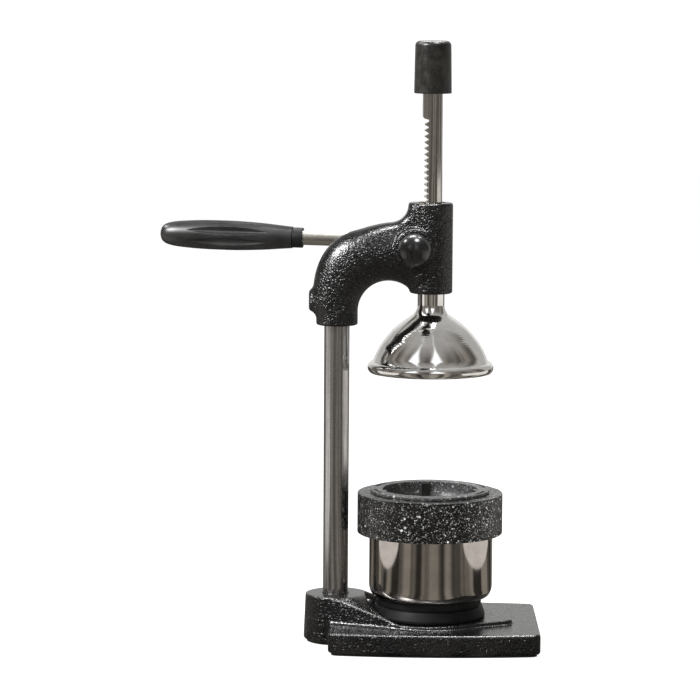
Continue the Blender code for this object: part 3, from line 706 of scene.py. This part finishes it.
def base_mesh():
    """The plate, the raised pad with its tongue, and the ramp that climbs to the column's boss."""
    step = 1.0
    low, high = BASE_LOW - 3 * step, BASE_HIGH + 3 * step
    x, y, z = lattice(low, high, step)
    floor = float(BASE_LOW[2])

    def slab(outline, bottom, top, edge):
        plan = outline_field(x[:, :, 0], y[:, :, 0], outline)[:, :, None]
        return corner(plan, between(z, bottom, top), edge)

    plate = slab(plate_outline(), floor, PLATE_TOP, 2.2)
    pad = rod_field(x, y, z, PAD_R, 10, PAD_TOP, 0.9)
    half, bevel = TONGUE_HALF, 5
    tongue = [(20, -46), (TONGUE_END - bevel, -half), (TONGUE_END, -half + bevel),
              (TONGUE_END, half - bevel), (TONGUE_END - bevel, half), (20, 46)]
    body = fuse(plate, np.minimum(pad, slab(tongue, 10, PAD_TOP - 0.05, 1.0)), 1.6)
    boss, below, round_boss, pad_rear = (COLUMN_X, 0), floor - 8, (0, 357, 119), (119, 241, 40)
    hull = [(px, py, height) for centre, radius, sweep, height in (
        (boss, BOSS_FOOT_R + 0.4, round_boss, below), (boss, BOSS_R, round_boss, BOSS_TOP),
        ((0, 0), PAD_R, pad_rear, below), ((0, 0), PAD_R, pad_rear, PAD_TOP + 0.4),
    ) for px, py in arc(centre, radius, *sweep)]
    ramp = corner(hull_field(x, y, z, hull), np.maximum(z - BOSS_TOP, floor - z), 1.5)
    body = np.maximum(fuse(body, ramp, 3.0), floor - z)
    column = (x - COLUMN_X, y, z)
    hollow = np.maximum(between(x, -38, 78), np.abs(y) - 55)
    for cutter, ease in (
        (rod_field(x, y, z, RECESS_R, PAD_TOP, 60), 1.0),
        (corner(hollow, between(z, -20, PLATE_TOP - 8), 2.0), 0.8),
        (rod_field(*column, COLUMN_R + CLEARANCE, 12, 60), 0.8),
        (rod_field(*column, BOLT_HOLE_R, -10, 20), 0.8),
        (rod_field(*column, BOLT_HEAD_R, -10, 7.6), 0.8),
        (rod_field(y, z - BASE_SCREW_Z, x, SCREW_R + CLEARANCE, COLUMN_X, -30), 0.5),
        (rod_field(x, y, z, SEAT_HOLE_R, -10, 30), 0.5),
    ):
        body = trim(body, cutter, ease)
    return skin_mesh(body, low, step)


# ---- base, column and head

def castings():
    piece("base_cast", base_mesh(), ["base_casting"], "hammered_paint", sharp=70)
    piece("head_cast", head_mesh(), ["head_casting"], "hammered_paint", sharp=70)


def rubber_sheet():
    high = node_mm("base_rubber_sheet")[1][2]
    round_end = plug(BOSS_FOOT_R - 2.5, 0, high, (COLUMN_X, 0, 0))
    sheet = boolean(prism_mesh(plate_outline(inset=2.5), 0, high), "UNION", round_end)
    cut = linked("sheet", sheet)
    edges = cut.modifiers.new("edges", "BEVEL")
    edges.width = 0.35 * MM
    edges.segments = 3
    edges.limit_method = "ANGLE"
    edges.angle_limit = radians(40)
    piece("rubber_sheet", applied(cut), ["base_rubber_sheet"], "black_rubber")


def column():
    low, high = COLUMN_LOW[2], COLUMN_HIGH[2]
    bore, depth = BOLT_HOLE_R, 19.7
    profile = rounded([
        (0, high), (COLUMN_R, high, 0.8), (COLUMN_R, low, 0.8), (bore, low, 0.3),
        (bore, low + depth), (0, low + depth)])
    turned("column_bar", profile, ["column"], "satin_steel", (COLUMN_X, 0, 0))


def hex_mesh(across_flats, low, high, place, direction):
    """A hexagon whose corners are turned down at a 30 degree chamfer, as on a real nut."""
    first, second = frame_along(direction)
    place, direction = Vector(place), Vector(direction)
    corner_r, face_r = across_flats / 2 / cos(pi / 6), across_flats / 2 - 0.1
    spokes = [(first * cos(TAU * k / 6) + second * sin(TAU * k / 6)) * corner_r for k in range(6)]
    hexagon = extruded(*([place + direction * h + spoke for spoke in spokes] for h in (low, high)))
    drop = 0.58 * (corner_r - face_r)
    chamfered = [
        (0, high + 0.01), (face_r, high + 0.01), (corner_r + 0.5, high - drop),
        (corner_r + 0.5, low + drop), (face_r, low - 0.01), (0, low - 0.01)]
    return boolean(hexagon, "INTERSECT", lathe(chamfered, place, direction, 96))


def bolts_and_screws():
    foot = (COLUMN_X, 0, 0)
    head = hex_mesh(13, node_mm("column_bolt")[0][2], 6.0, foot, UP)
    shank = lathe(rounded([(0, 30), (4.0, 30, 0.7), (4.0, 5), (0, 5)]), foot, UP, 64)
    piece("foot_bolt", boolean(head, "UNION", shank), ["column_bolt"], "zinc_steel")
    washer = [(4.3, 6.8), (4.3, 7.3), (8.4, 7.3, 0.2), (8.4, 6.2, 0.2), (4.3, 6.2)]
    turned("foot_washer", rounded(washer), ["column_washer"], "zinc_steel", foot)
    low, high = node_mm("base_clamp_screw")
    dome = arc((0, high[0] - SCREW_R), SCREW_R, 90, 0, 12)
    profile = dome + [(SCREW_R, low[0] + 0.5), (SCREW_R - 0.5, low[0]), (0, low[0])]
    turned("foot_screw", profile, ["base_clamp_screw"], "zinc_steel",
           (0, 0, (low[2] + high[2]) / 2), ACROSS, 64)
    low, high = node_mm("head_clamp_screw")
    near, far, socket, depth = -high[0], -low[0], 1.6, 3.0
    profile = rounded([
        (0, far - depth), (socket, far - depth), (socket, far), (SCREW_R, far, 0.5),
        (SCREW_R, near, 0.4), (0, near)])
    turned("collar_screw", profile, ["head_clamp_screw"], "zinc_steel",
           (0, 0, HEAD_SCREW_Z), -ACROSS, 64)


def bushes():
    """Bronze bushes: two round the press rod, and two round the pinion's shaft."""
    rod, pinion = (2, ROD_R, (0, 0, 0), UP), (1, SHAFT_R, (PINION_X, 0, PINION_Z), REARWARD)
    for node, name, (axis, inner, place, direction) in (
        ("rod_bush_lower", "bush_low", rod), ("rod_bush_upper", "bush_high", rod),
        ("shaft_bush_front", "bush_front", pinion), ("shaft_bush_rear", "bush_rear", pinion),
    ):
        low, high = node_mm(node)
        outer, start, end, inner = (high[0] - low[0]) / 2, low[axis], high[axis], inner + 0.12
        profile = rounded([
            (inner, start + 2), (inner, end, 0.4), (outer, end, 0.3), (outer, start, 0.3),
            (inner, start, 0.4)])
        turned(name, profile, [node], "bronze", place, direction)


# ---- rack rod, cap and bell

def rack_outline():
    """The comb of spaces cut into the rod, with a curved run-out above its last tooth."""
    pitch = pi * MODULE
    tip_x, root_x = PITCH_X - MODULE, PITCH_X + 1.25 * MODULE
    slope = tan(PRESSURE_ANGLE)
    at_pitch = (pitch / 2 - BACKLASH) / 2
    at_tip, at_root = at_pitch - MODULE * slope, at_pitch + 1.25 * MODULE * slope
    below, above = 4, 21
    low, high = PINION_Z - below * pitch, PINION_Z + above * pitch
    points = [(-10, low), (root_x, low)]
    for tooth in range(-below, above):
        z = PINION_Z + (tooth + 0.5) * pitch
        points += [
            (root_x, z - at_root), (tip_x, z - at_tip), (tip_x, z + at_tip), (root_x, z + at_root)]
    run_out = arc((root_x, high + 5), (ROD_R + root_x + 0.4, 3.6), 270, 180, 16)
    return points + run_out + [(-10, high + 5)]


def press_rod():
    _, foot, top = round_node("rack_rod")
    bore, bore_top = BELL_BOLT_BORE_R, 284
    bar = lathe(rounded([
        (0, top), (ROD_R, top, 0.8), (ROD_R, foot, 0.5), (bore, foot, 0.3), (bore, bore_top),
        (0, bore_top)]))
    comb = prism_mesh(rack_outline(), -9, 9, axis="Y")
    piece("toothed_rod", boolean(bar, "DIFFERENCE", comb), ["rack_rod"], "polished_steel",
          sharp=25)


def rod_cap():
    radius, foot, top = round_node("rod_cap")
    bore, seat = ROD_R + CLEARANCE, 472.3
    profile = rounded([
        (0, top), (14.1, top, 3.8), (14.35, top - 12), (radius, foot, 0.9), (bore, foot, 0.6),
        (bore, seat), (0, seat)], 10)
    turned("rubber_cap", profile, ["rod_cap"], "black_rubber", sharp=50)


def bell():
    low, high = node_mm("bell")
    neck, dome, dome_z, wall = 10.6, 46.2, 213.2, 1.9
    bolt_bore, roof, shoulder, rod_bore = BELL_BOLT_BORE_R, 257.0, 264.0, ROD_R + CLEARANCE
    outside = [(neck, high[2])]
    outside += spline([
        (neck, 272), (neck, 268.5), (11.6, 265.0), (13.6, 262.0), (17.4, 259.3), (20.6, 257.1),
        (25.8, 253.1), (29.4, 249.9), (32.0, 247.1)] + arc((0, dome_z), dome, 41, 39, 1), 8)
    outside += arc((0, dome_z), dome, 38, 19.0, 34)
    rim = spline([(45.2, 225.6), (46.3, 224.3), (47.6, 223.5)], 4)
    rim += arc((46.2, 219.6), (high[0] - 46.2, 4.2), 64, -50, 20) + [(47.9, low[2])]
    inside = [(47.2, low[2]), (46.6, 219.0)] + arc((0, dome_z), dome - wall, 12, 56, 30)
    inside += [(13.0, roof), (bolt_bore, roof), (bolt_bore, shoulder), (rod_bore, shoulder),
               (rod_bore, high[2])]
    turned("press_bell", outside + rim + inside, ["bell"], "polished_aluminium", sides=192,
           sharp=40)
    head = hex_mesh(10, node_mm("bell_bolt")[0][2], 255.0, (0, 0, 0), UP)
    shank = lathe(
        rounded([(0, 282), (SCREW_R, 282, 0.5), (SCREW_R, 254), (0, 254)]), sides=64)
    piece("bell_screw", boolean(head, "UNION", shank), ["bell_bolt"], "zinc_steel")
    washer = [(3.4, 256.0), (3.4, 256.7), (9.0, 256.7, 0.3), (9.0, 255.3, 0.3), (3.4, 255.3)]
    turned("screw_washer", rounded(washer), ["bell_washer"], "zinc_steel")


# ---- pinion and lever

def pinion_outline():
    """Involute teeth, with one facing the rack's space at the shaft's height."""
    teeth = 12
    pitch_r = MODULE * teeth / 2
    base_r = pitch_r * cos(PRESSURE_ANGLE)
    outer_r, root_r = pitch_r + 0.9 * MODULE, pitch_r - 1.25 * MODULE
    half = (pi / 2 * MODULE - BACKLASH) / 2 / pitch_r
    half = half + tan(PRESSURE_ANGLE) - PRESSURE_ANGLE
    flank = []
    for i in range(9):
        r = base_r + (outer_r - base_r) * i / 8
        roll = acos(min(1.0, base_r / r))
        flank.append((r, half - (tan(roll) - roll)))
    side = [(root_r, flank[0][1] + 0.02)] + flank
    points = []
    for tooth in range(teeth):
        middle = tooth * TAU / teeth
        polar = [(r, middle - a) for r, a in side] + [(r, middle + a) for r, a in reversed(side)]
        points += [(PINION_X + r * cos(a), PINION_Z + r * sin(a)) for r, a in polar]
    return points


def shaft():
    place, end_r = (PINION_X, 0, PINION_Z), 4.0
    low, high = node_mm("pinion_shaft")
    bar = lathe(rounded([
        (0, high[1]), (end_r, high[1], 0.6), (end_r, 63.2), (SHAFT_R, 63.2, 0.4),
        (SHAFT_R, -20.4, 0.4), (end_r, -20.4), (end_r, low[1], 0.6), (0, low[1])]),
        place, REARWARD, 96)
    teeth = prism_mesh(pinion_outline(), -8.6, 8.6, axis="Y")
    piece("toothed_shaft", boolean(bar, "UNION", teeth), ["pinion_shaft"], "polished_steel",
          sharp=25)
    washer = [(5.3, 37.0), (5.3, 37.6), (9.0, 37.6, 0.25), (9.0, 36.3, 0.25), (5.3, 36.3)]
    turned("shaft_washer", rounded(washer), ["thrust_washer"], "bronze", place, REARWARD)
    nut = hex_mesh(13, 64.5, 70.8, place, REARWARD)
    hole = plug(end_r + CLEARANCE, 50, 90, place, REARWARD, 64)
    piece("end_nut", boolean(nut, "DIFFERENCE", hole), ["lever_end_nut"], "zinc_steel")


def knob():
    low, high = node_mm("ball_knob")
    radius = (high[0] - low[0]) / 2
    front, back = -low[1], -high[1]
    centre = front - radius
    widest = degrees(acos((centre - back) / radius))
    profile = [(r, h + centre) for r, h in arc((0, 0), radius, 90, -90 + widest, 64)]
    profile += [(4.3, back), (4.3, centre - 1.4), (0, centre - 1.4)]
    turned("ball", profile, ["ball_knob"], "knob_plastic", (PINION_X, 0, PINION_Z), -REARWARD)


def lever():
    """The hub on the shaft, and in line with it the bar, its lock nut and the grip's ferrule."""
    bar_r, bore = 5.8, LEVER_BORE_R
    line = (LEVER_PIVOT, LEVER_ALONG)
    hub = lathe(rounded([(0, 37), (12, 37, 1.2), (12, -12, 1.4), (0, -12)], 8), *line, 128)
    across = plug(SHAFT_R + CLEARANCE, -30, 30, LEVER_PIVOT, REARWARD, 96)
    socket = plug(bore, 15.7, 60, *line, 96)
    piece("hub", boolean(hub, "DIFFERENCE", across, socket), ["lever_hub"], "satin_steel",
          "lever_steel")
    bar = rounded([(0, 196), (bar_r, 196, 0.6), (bar_r, 16, 0.6), (0, 16)])
    turned("lever_bar", bar, ["lever_rod"], "satin_steel", *line, look="lever_steel")
    nut = hex_mesh(16, 37.3, 42.5, *line)
    hole = plug(bore, 20, 60, *line, 96)
    piece("lock_nut", boolean(nut, "DIFFERENCE", hole), ["lever_lock_nut"], "zinc_steel")
    ferrule = [(bore, 96), (bore, 97.6), (8.15, 97.6, 0.5), (8.15, 89.2, 0.7), (bore, 89.2)]
    turned("ferrule", rounded(ferrule), ["grip_ferrule"], "seat_plastic", *line)


FLUTES, FLUTE_START, FLUTE_END, FLUTE_WIDTH, FLUTE_DEPTH = 8, 118.0, 182.0, 3.6, 2.3


def flute(angle, radius, height):
    """How far a flute sinks the grip's surface: a long hollow, pointed at both ends."""
    t = (height - FLUTE_START) / (FLUTE_END - FLUTE_START)
    if not 0 < t < 1 or radius < LEVER_BORE_R + 1:
        return 0.0
    lens = sin(pi * t) ** 0.7
    spacing = TAU / FLUTES
    off = ((angle / spacing) % 1 - 0.5) * spacing * radius
    across = abs(off) / max(FLUTE_WIDTH * lens, 1e-6)
    return -FLUTE_DEPTH * lens * (1 - across ** 2) if across < 1 else 0.0


def grip():
    bore, start, end, bore_end = LEVER_BORE_R, 97.9, 205.8, 196.3
    side = [(8.7, start), (9.4, 106), (10.8, 122), (11.8, 142), (11.9, 158), (11.6, 174),
            (10.5, 190), (9.3, 197.5), (7.8, 201.8), (5.6, 204.4), (2.9, 205.6)]
    profile = [(0, end)] + spline(side, 14)[::-1]
    profile += [(bore, start), (bore, bore_end), (0, bore_end)]
    turned("grip", profile, ["lever_grip"], "grip_plastic", LEVER_PIVOT, LEVER_ALONG, 256, flute,
           sharp=38)


# ---- cup, seat and strainer

def seat():
    _, foot, top = round_node("cup_seat")
    body = lathe(rounded([
        (0, top), (42, top, 0.8), (42, 31.4, 0.3), (41, 30.6, 0.3), (42.5, 30.0, 0.4),
        (45, foot + 2, 1.2), (45, foot, 0.4), (0, foot)]))
    hole = plug(SEAT_HOLE_R, 0, 32, sides=48)
    piece("seat", boolean(body, "DIFFERENCE", hole), ["cup_seat"], "seat_plastic")
    screw = rounded([
        (0, 30), (2.5, 30, 0.4), (2.5, 9.7), (5.0, 9.7, 0.3), (5.0, 6.4, 0.8), (0, 6.4)])
    turned("seat_screw", screw, ["cup_seat_screw"], "zinc_steel", sides=64)


def cup():
    radius, foot, top = round_node("cup")
    middle = node_mm("cup")[1][0] - radius
    wall, across, up = 1.0, 5.5, 9.5
    centre = (radius - across, foot + up)
    outside = [(radius, top)] + arc(centre, (across, up), 0, -90, 28) + [(0, foot)]
    inside = [(0, foot + wall)] + arc(centre, (across - wall, up - wall), -90, 0, 28)
    inside += [(radius - wall, top - 0.3), (radius - 0.6, top)]
    turned("juice_cup", inside + outside, ["cup"], "stainless", (middle, 0, 0), sides=192,
           sharp=40)


def ring():
    radius, foot, top = round_node("strainer_ring")
    hole, skirt, skirt_top = 43.7, 50.3, 112.3
    profile = rounded([
        (hole, 115), (hole, top, 0.3), (radius, top, 0.9), (radius, foot, 0.9), (skirt, foot, 0.5),
        (skirt, skirt_top), (hole, skirt_top)])
    turned("outer_ring", profile, ["strainer_ring"], "speckled_plastic", (STRAINER_X, 0, 0),
           sides=192)


def block_mesh(low, high, turn):
    """A block from low to high, turned in degrees about the strainer's axis."""
    shape = bmesh.new()
    bmesh.ops.create_cube(shape, size=1)
    size = [(b - a) * MM for a, b in zip(low, high)]
    middle = Vector([(a + b) / 2 * MM for a, b in zip(low, high)])
    bmesh.ops.scale(shape, verts=shape.verts, vec=size)
    bmesh.ops.bevel(shape, geom=list(shape.edges), offset=0.4 * MM, segments=3, affect="EDGES")
    axis = Matrix.Translation(Vector((STRAINER_X, 0, 0)) * MM)
    matrix = axis @ Matrix.Rotation(radians(turn), 4, "Z") @ Matrix.Translation(middle)
    bmesh.ops.transform(shape, matrix=matrix, verts=shape.verts)
    mesh = bpy.data.meshes.new("block")
    shape.to_mesh(mesh)
    shape.free()
    return mesh


def insert():
    """The funnel, with four ribs down its wall and four slots in its rim."""
    radius, foot, top = round_node("strainer_insert")
    flange, hole = 120.1, 37.6
    profile = rounded([
        (hole, 121), (hole, top, 1.2), (radius, top, 0.7), (radius, flange, 0.3), (43.4, flange),
        (43.4, foot, 0.5), (41.2, foot, 0.5), (41.2, 108.0), (35.6, 107.6), (30.6, 104.2, 0.4)])
    bowl = spline([
        (30.0, 105.5), (33.0, 108.2), (35.4, 111.2), (36.9, 114.4), (hole, 118.0)], 4)
    body = lathe(profile + bowl, (STRAINER_X, 0, 0), sides=192)
    ribs = [block_mesh((hole - 3.2, -3.0, 107.0), (hole + 2, 3.0, top - 1.2), angle)
            for angle in (5, 95, 185, 275)]
    slots = [block_mesh((42.7, -3.2, top - 2.2), (45.2, 3.2, top + 5), angle + turn)
             for angle in (20, 154, 197, 334) for turn in (-7, 0, 7)]
    body = boolean(boolean(body, "UNION", *ribs), "DIFFERENCE", *slots)
    piece("funnel", body, ["strainer_insert"], "speckled_plastic", "bowl_plastic")


def strainer():
    """Perforated plate with a low reamer whose ridges grip the fruit."""
    top, sheet, ridges = node_mm("strainer_plate")[1][2], 99.7, 12

    def ridge(angle, radius, height):
        climb = min(1.0, max(0.0, (top - 0.6 - height) / 3))
        climb *= min(1.0, max(0.0, (height - sheet - 0.8) / 3))
        return -1.1 * climb * (0.5 + 0.5 * cos(angle * ridges)) ** 0.6

    profile = spline([
        (0, top), (2.5, top - 0.8), (8, 111.0), (16, 106.6), (23, 102.9), (27, 100.7)], 5)
    profile += [(28, sheet), (41.5, sheet), (41.5, sheet - 1), (27.4, sheet - 1), (25, sheet),
                (0, top - 2.6)]
    plate = lathe(profile, (STRAINER_X, 0, 0), sides=192, shift=ridge)
    cutter = bmesh.new()
    for count, radius, size in ((16, 33.0, 1.8), (40, 29.6, 0.8), (48, 37.0, 0.8)):
        for i in range(count):
            a = TAU * (i + 0.3) / count
            place = (STRAINER_X + radius * cos(a), radius * sin(a), 0)
            cutter.from_mesh(plug(size, 90, 110, place, sides=12))
    holes = bpy.data.meshes.new("holes")
    cutter.to_mesh(holes)
    cutter.free()
    piece("strainer_disc", boolean(plate, "DIFFERENCE", holes), ["strainer_plate"], "stainless")


# ---- studio

def lamp(name, direction, distance, size, radiance, shaded=("press_bell",), only=()):
    """A lamp aimed at the middle of the press: round for one size, oblong along X for two.

    It is flagged off from the shaded pieces, so that they don't mirror it, or lights only a few.
    """
    data = bpy.data.lights.new(name, "AREA")
    oblong = isinstance(size, tuple)
    wide, deep = size if oblong else (size, size)
    data.shape = "RECTANGLE" if oblong else "DISK"
    data.size, data.size_y = wide, deep
    area = wide * deep * (1 if oblong else pi / 4)
    data.energy = radiance * pi * area
    lit = bpy.data.collections.new(name + "_lit")
    for thing in bpy.context.scene.objects:
        if thing.type == "MESH" and (thing.name in only if only else thing.name not in shaded):
            lit.objects.link(thing)
    made = linked(name, data)
    made.light_linking.receiver_collection = lit
    away = Vector(direction).normalized()
    place = Matrix.Translation(Vector((0, 0, 0.25)) + away * distance)
    made.matrix_world = place @ away.to_track_quat("Z", "Y").to_matrix().to_4x4()


ROOM_DARK, ROOM_LIGHT, ROOM_HIGH = (0.10, 0.092, 0.084), (0.32, 0.29, 0.262), (0.42, 0.41, 0.40)
PAPER, BACKDROP = (0.50, 0.492, 0.48), (0.82, 0.815, 0.80)
PANEL, SHEET = (1.5, 1.55, 1.6), (0.90, 0.86, 0.83)
TABLE_DARK, TABLE_LIGHT, TABLE_EDGE = (0.04, 0.037, 0.033), (0.36, 0.33, 0.29), 0.54
# Pale sheets on the table beside the press, and bright panels in front of it: the heading and
# half-width of each, in degrees. A sheet starts SHEET_NEAR metres from the press.
SHEETS, SHEET_NEAR = ((-86, 26), (94, 36)), 0.365
PANELS = ((-38, 14), (13, 15))


def heading(nodes, x, y):
    """The angle round the press from straight in front."""
    return nodes.math("ARCTAN2", x, nodes.math("MULTIPLY", y, -1.0))


def stripes(nodes, turn, size, detail):
    """Uneven upright stripes, as from the furniture of a room."""
    made = nodes.node("TexNoise", {"Scale": size, "Detail": detail, "W": turn},
                      noise_dimensions="1D")
    return nodes.remap(made.outputs["Fac"], 0.35, 0.68)


def studio():
    """White all round to the eye, with a dim room in front for shiny metal to reflect."""
    world = bpy.data.worlds.new("studio")
    bpy.context.scene.world = world
    world.use_nodes = True
    world.cycles.sampling_method = "NONE"
    nodes = Nodes(world.node_tree)
    x, y, z = nodes.parts(nodes.node("TexCoord").outputs["Generated"])
    turn = heading(nodes, x, y)
    away = nodes.math("ABSOLUTE", turn)
    room = nodes.mix(stripes(nodes, turn, 3.0, 3.0), ROOM_DARK, ROOM_LIGHT)
    room = nodes.mix(nodes.remap(z, 0.5, 0.98), room, ROOM_HIGH)
    for start, end, colour in ((112, 124, PAPER), (148, 162, BACKDROP)):
        behind = nodes.remap(away, radians(start), radians(end))
        room = nodes.mix(behind, room, colour)
    for middle, half in PANELS:
        off = nodes.math("ABSOLUTE", nodes.math("SUBTRACT", turn, radians(middle)))
        width = nodes.remap(z, 0.45, 0.97, radians(half), radians(1.5))
        inside = nodes.remap(nodes.math("SUBTRACT", off, width), -0.12, 0.05, 1, 0)
        inside = nodes.math("MULTIPLY", inside, nodes.remap(z, 0.25, 0.40))
        room = nodes.mix(inside, room, PANEL)
    path = nodes.node("LightPath")
    seen = nodes.mix(path.outputs["Is Diffuse Ray"], room, (0.62, 0.62, 0.62))
    seen = nodes.mix(path.outputs["Is Camera Ray"], seen, (1.1, 1.1, 1.1))
    nodes.fill(world.node_tree.nodes["Background"].inputs["Color"], seen)
    lamp("softbox", (-0.65, -0.43, 0.62), 1.5, 0.52, 60,
         ("press_bell", "ball", "lever_bar", "hub", "outer_ring"))
    lamp("lamp_left", (-0.652, 0.287, 0.70), 1.5, 0.22, 70, ("press_bell", "head_cast"))
    lamp("lamp_top", (0.20, -0.12, 0.97), 1.4, 0.34, 80)
    lamp("lamp_high", (-0.10, -0.42, 0.90), 1.5, 0.36, 60, only=("head_cast", "base_cast"))
    lamp("lamp_back", (0.02, 0.517, 0.854), 1.3, (0.9, 0.22), 30,
         ("press_bell", "head_cast", "grip"))


def floor_material():
    """Plain white to the eye. Reflections show a dark table with pale sheets beside the press."""
    look = Look("floor", Base_Color=(0.85, 0.85, 0.85), Roughness=0.95)
    look.material.cycles.emission_sampling = "NONE"
    x, y, z = look.parts(look.node("NewGeometry").outputs["Position"])
    turn = heading(look, x, y)
    reach = look.math("SQRT", look.squares(x, y))
    table = stripes(look, look.math("ADD", turn, 11.3), 2.6, 1.5)
    reflected = look.mix(table, TABLE_DARK, TABLE_LIGHT)
    for middle, half in SHEETS:
        off = look.math("SUBTRACT", turn, radians(middle))
        off = look.math("DIVIDE", off, radians(half))
        short = look.math("MAXIMUM", look.math("SUBTRACT", TABLE_EDGE, reach), 0.0)
        short = look.math("DIVIDE", short, TABLE_EDGE - SHEET_NEAR)
        inside = look.remap(look.squares(off, short), 0.93, 1.03, 1, 0)
        reflected = look.mix(inside, reflected, SHEET)
    glow = look.node("Emission", {"Color": reflected})
    plain = look.node("Emission", {"Color": (0.88, 0.88, 0.88)})
    grey = look.node("BsdfDiffuse", {"Color": (0.20, 0.20, 0.20)})
    shown = look.node("AddShader", {0: plain.outputs[0], 1: grey.outputs[0]})
    path = look.node("LightPath").outputs
    shader = look.shader.outputs["BSDF"]
    for ray, other in (("Is Glossy Ray", glow), ("Is Camera Ray", shown)):
        choice = look.node("MixShader", {"Fac": path[ray], 1: shader, 2: other.outputs[0]})
        shader = choice.outputs[0]
    look.fill(look.tree.nodes["Material Output"].inputs["Surface"], shader)
    return look.material


def floor():
    half = 6.0
    mesh = bpy.data.meshes.new("floor")
    corners = [(-half, -half, 0), (half, -half, 0), (half, half, 0), (-half, half, 0)]
    mesh.from_pydata(corners, [], [(0, 1, 2, 3)])
    mesh.materials.append(floor_material())
    linked("floor", mesh)


def camera():
    """A long lens a little above the press, looking almost straight at its side."""
    data = bpy.data.cameras.new("camera")
    data.sensor_width, data.lens, data.clip_end = 36.0, 168.86, 50
    made = linked("camera", data)
    pitch, yaw, roll = radians(6.668), radians(0.366), radians(0.362)
    turn = Matrix.Rotation(yaw, 4, "Z") @ Matrix.Rotation(pi / 2 - pitch, 4, "X")
    place = Matrix.Translation((-0.0472, -2.5773, 0.5342))
    made.matrix_world = place @ turn @ Matrix.Rotation(roll, 4, "Z")
    bpy.context.scene.camera = made


castings()
rubber_sheet()
column()
bolts_and_screws()
bushes()
press_rod()
rod_cap()
bell()
shaft()
knob()
lever()
grip()
seat()
cup()
ring()
insert()
strainer()
floor()
studio()
camera()
bpy.context.scene.view_settings.view_transform = "Standard"
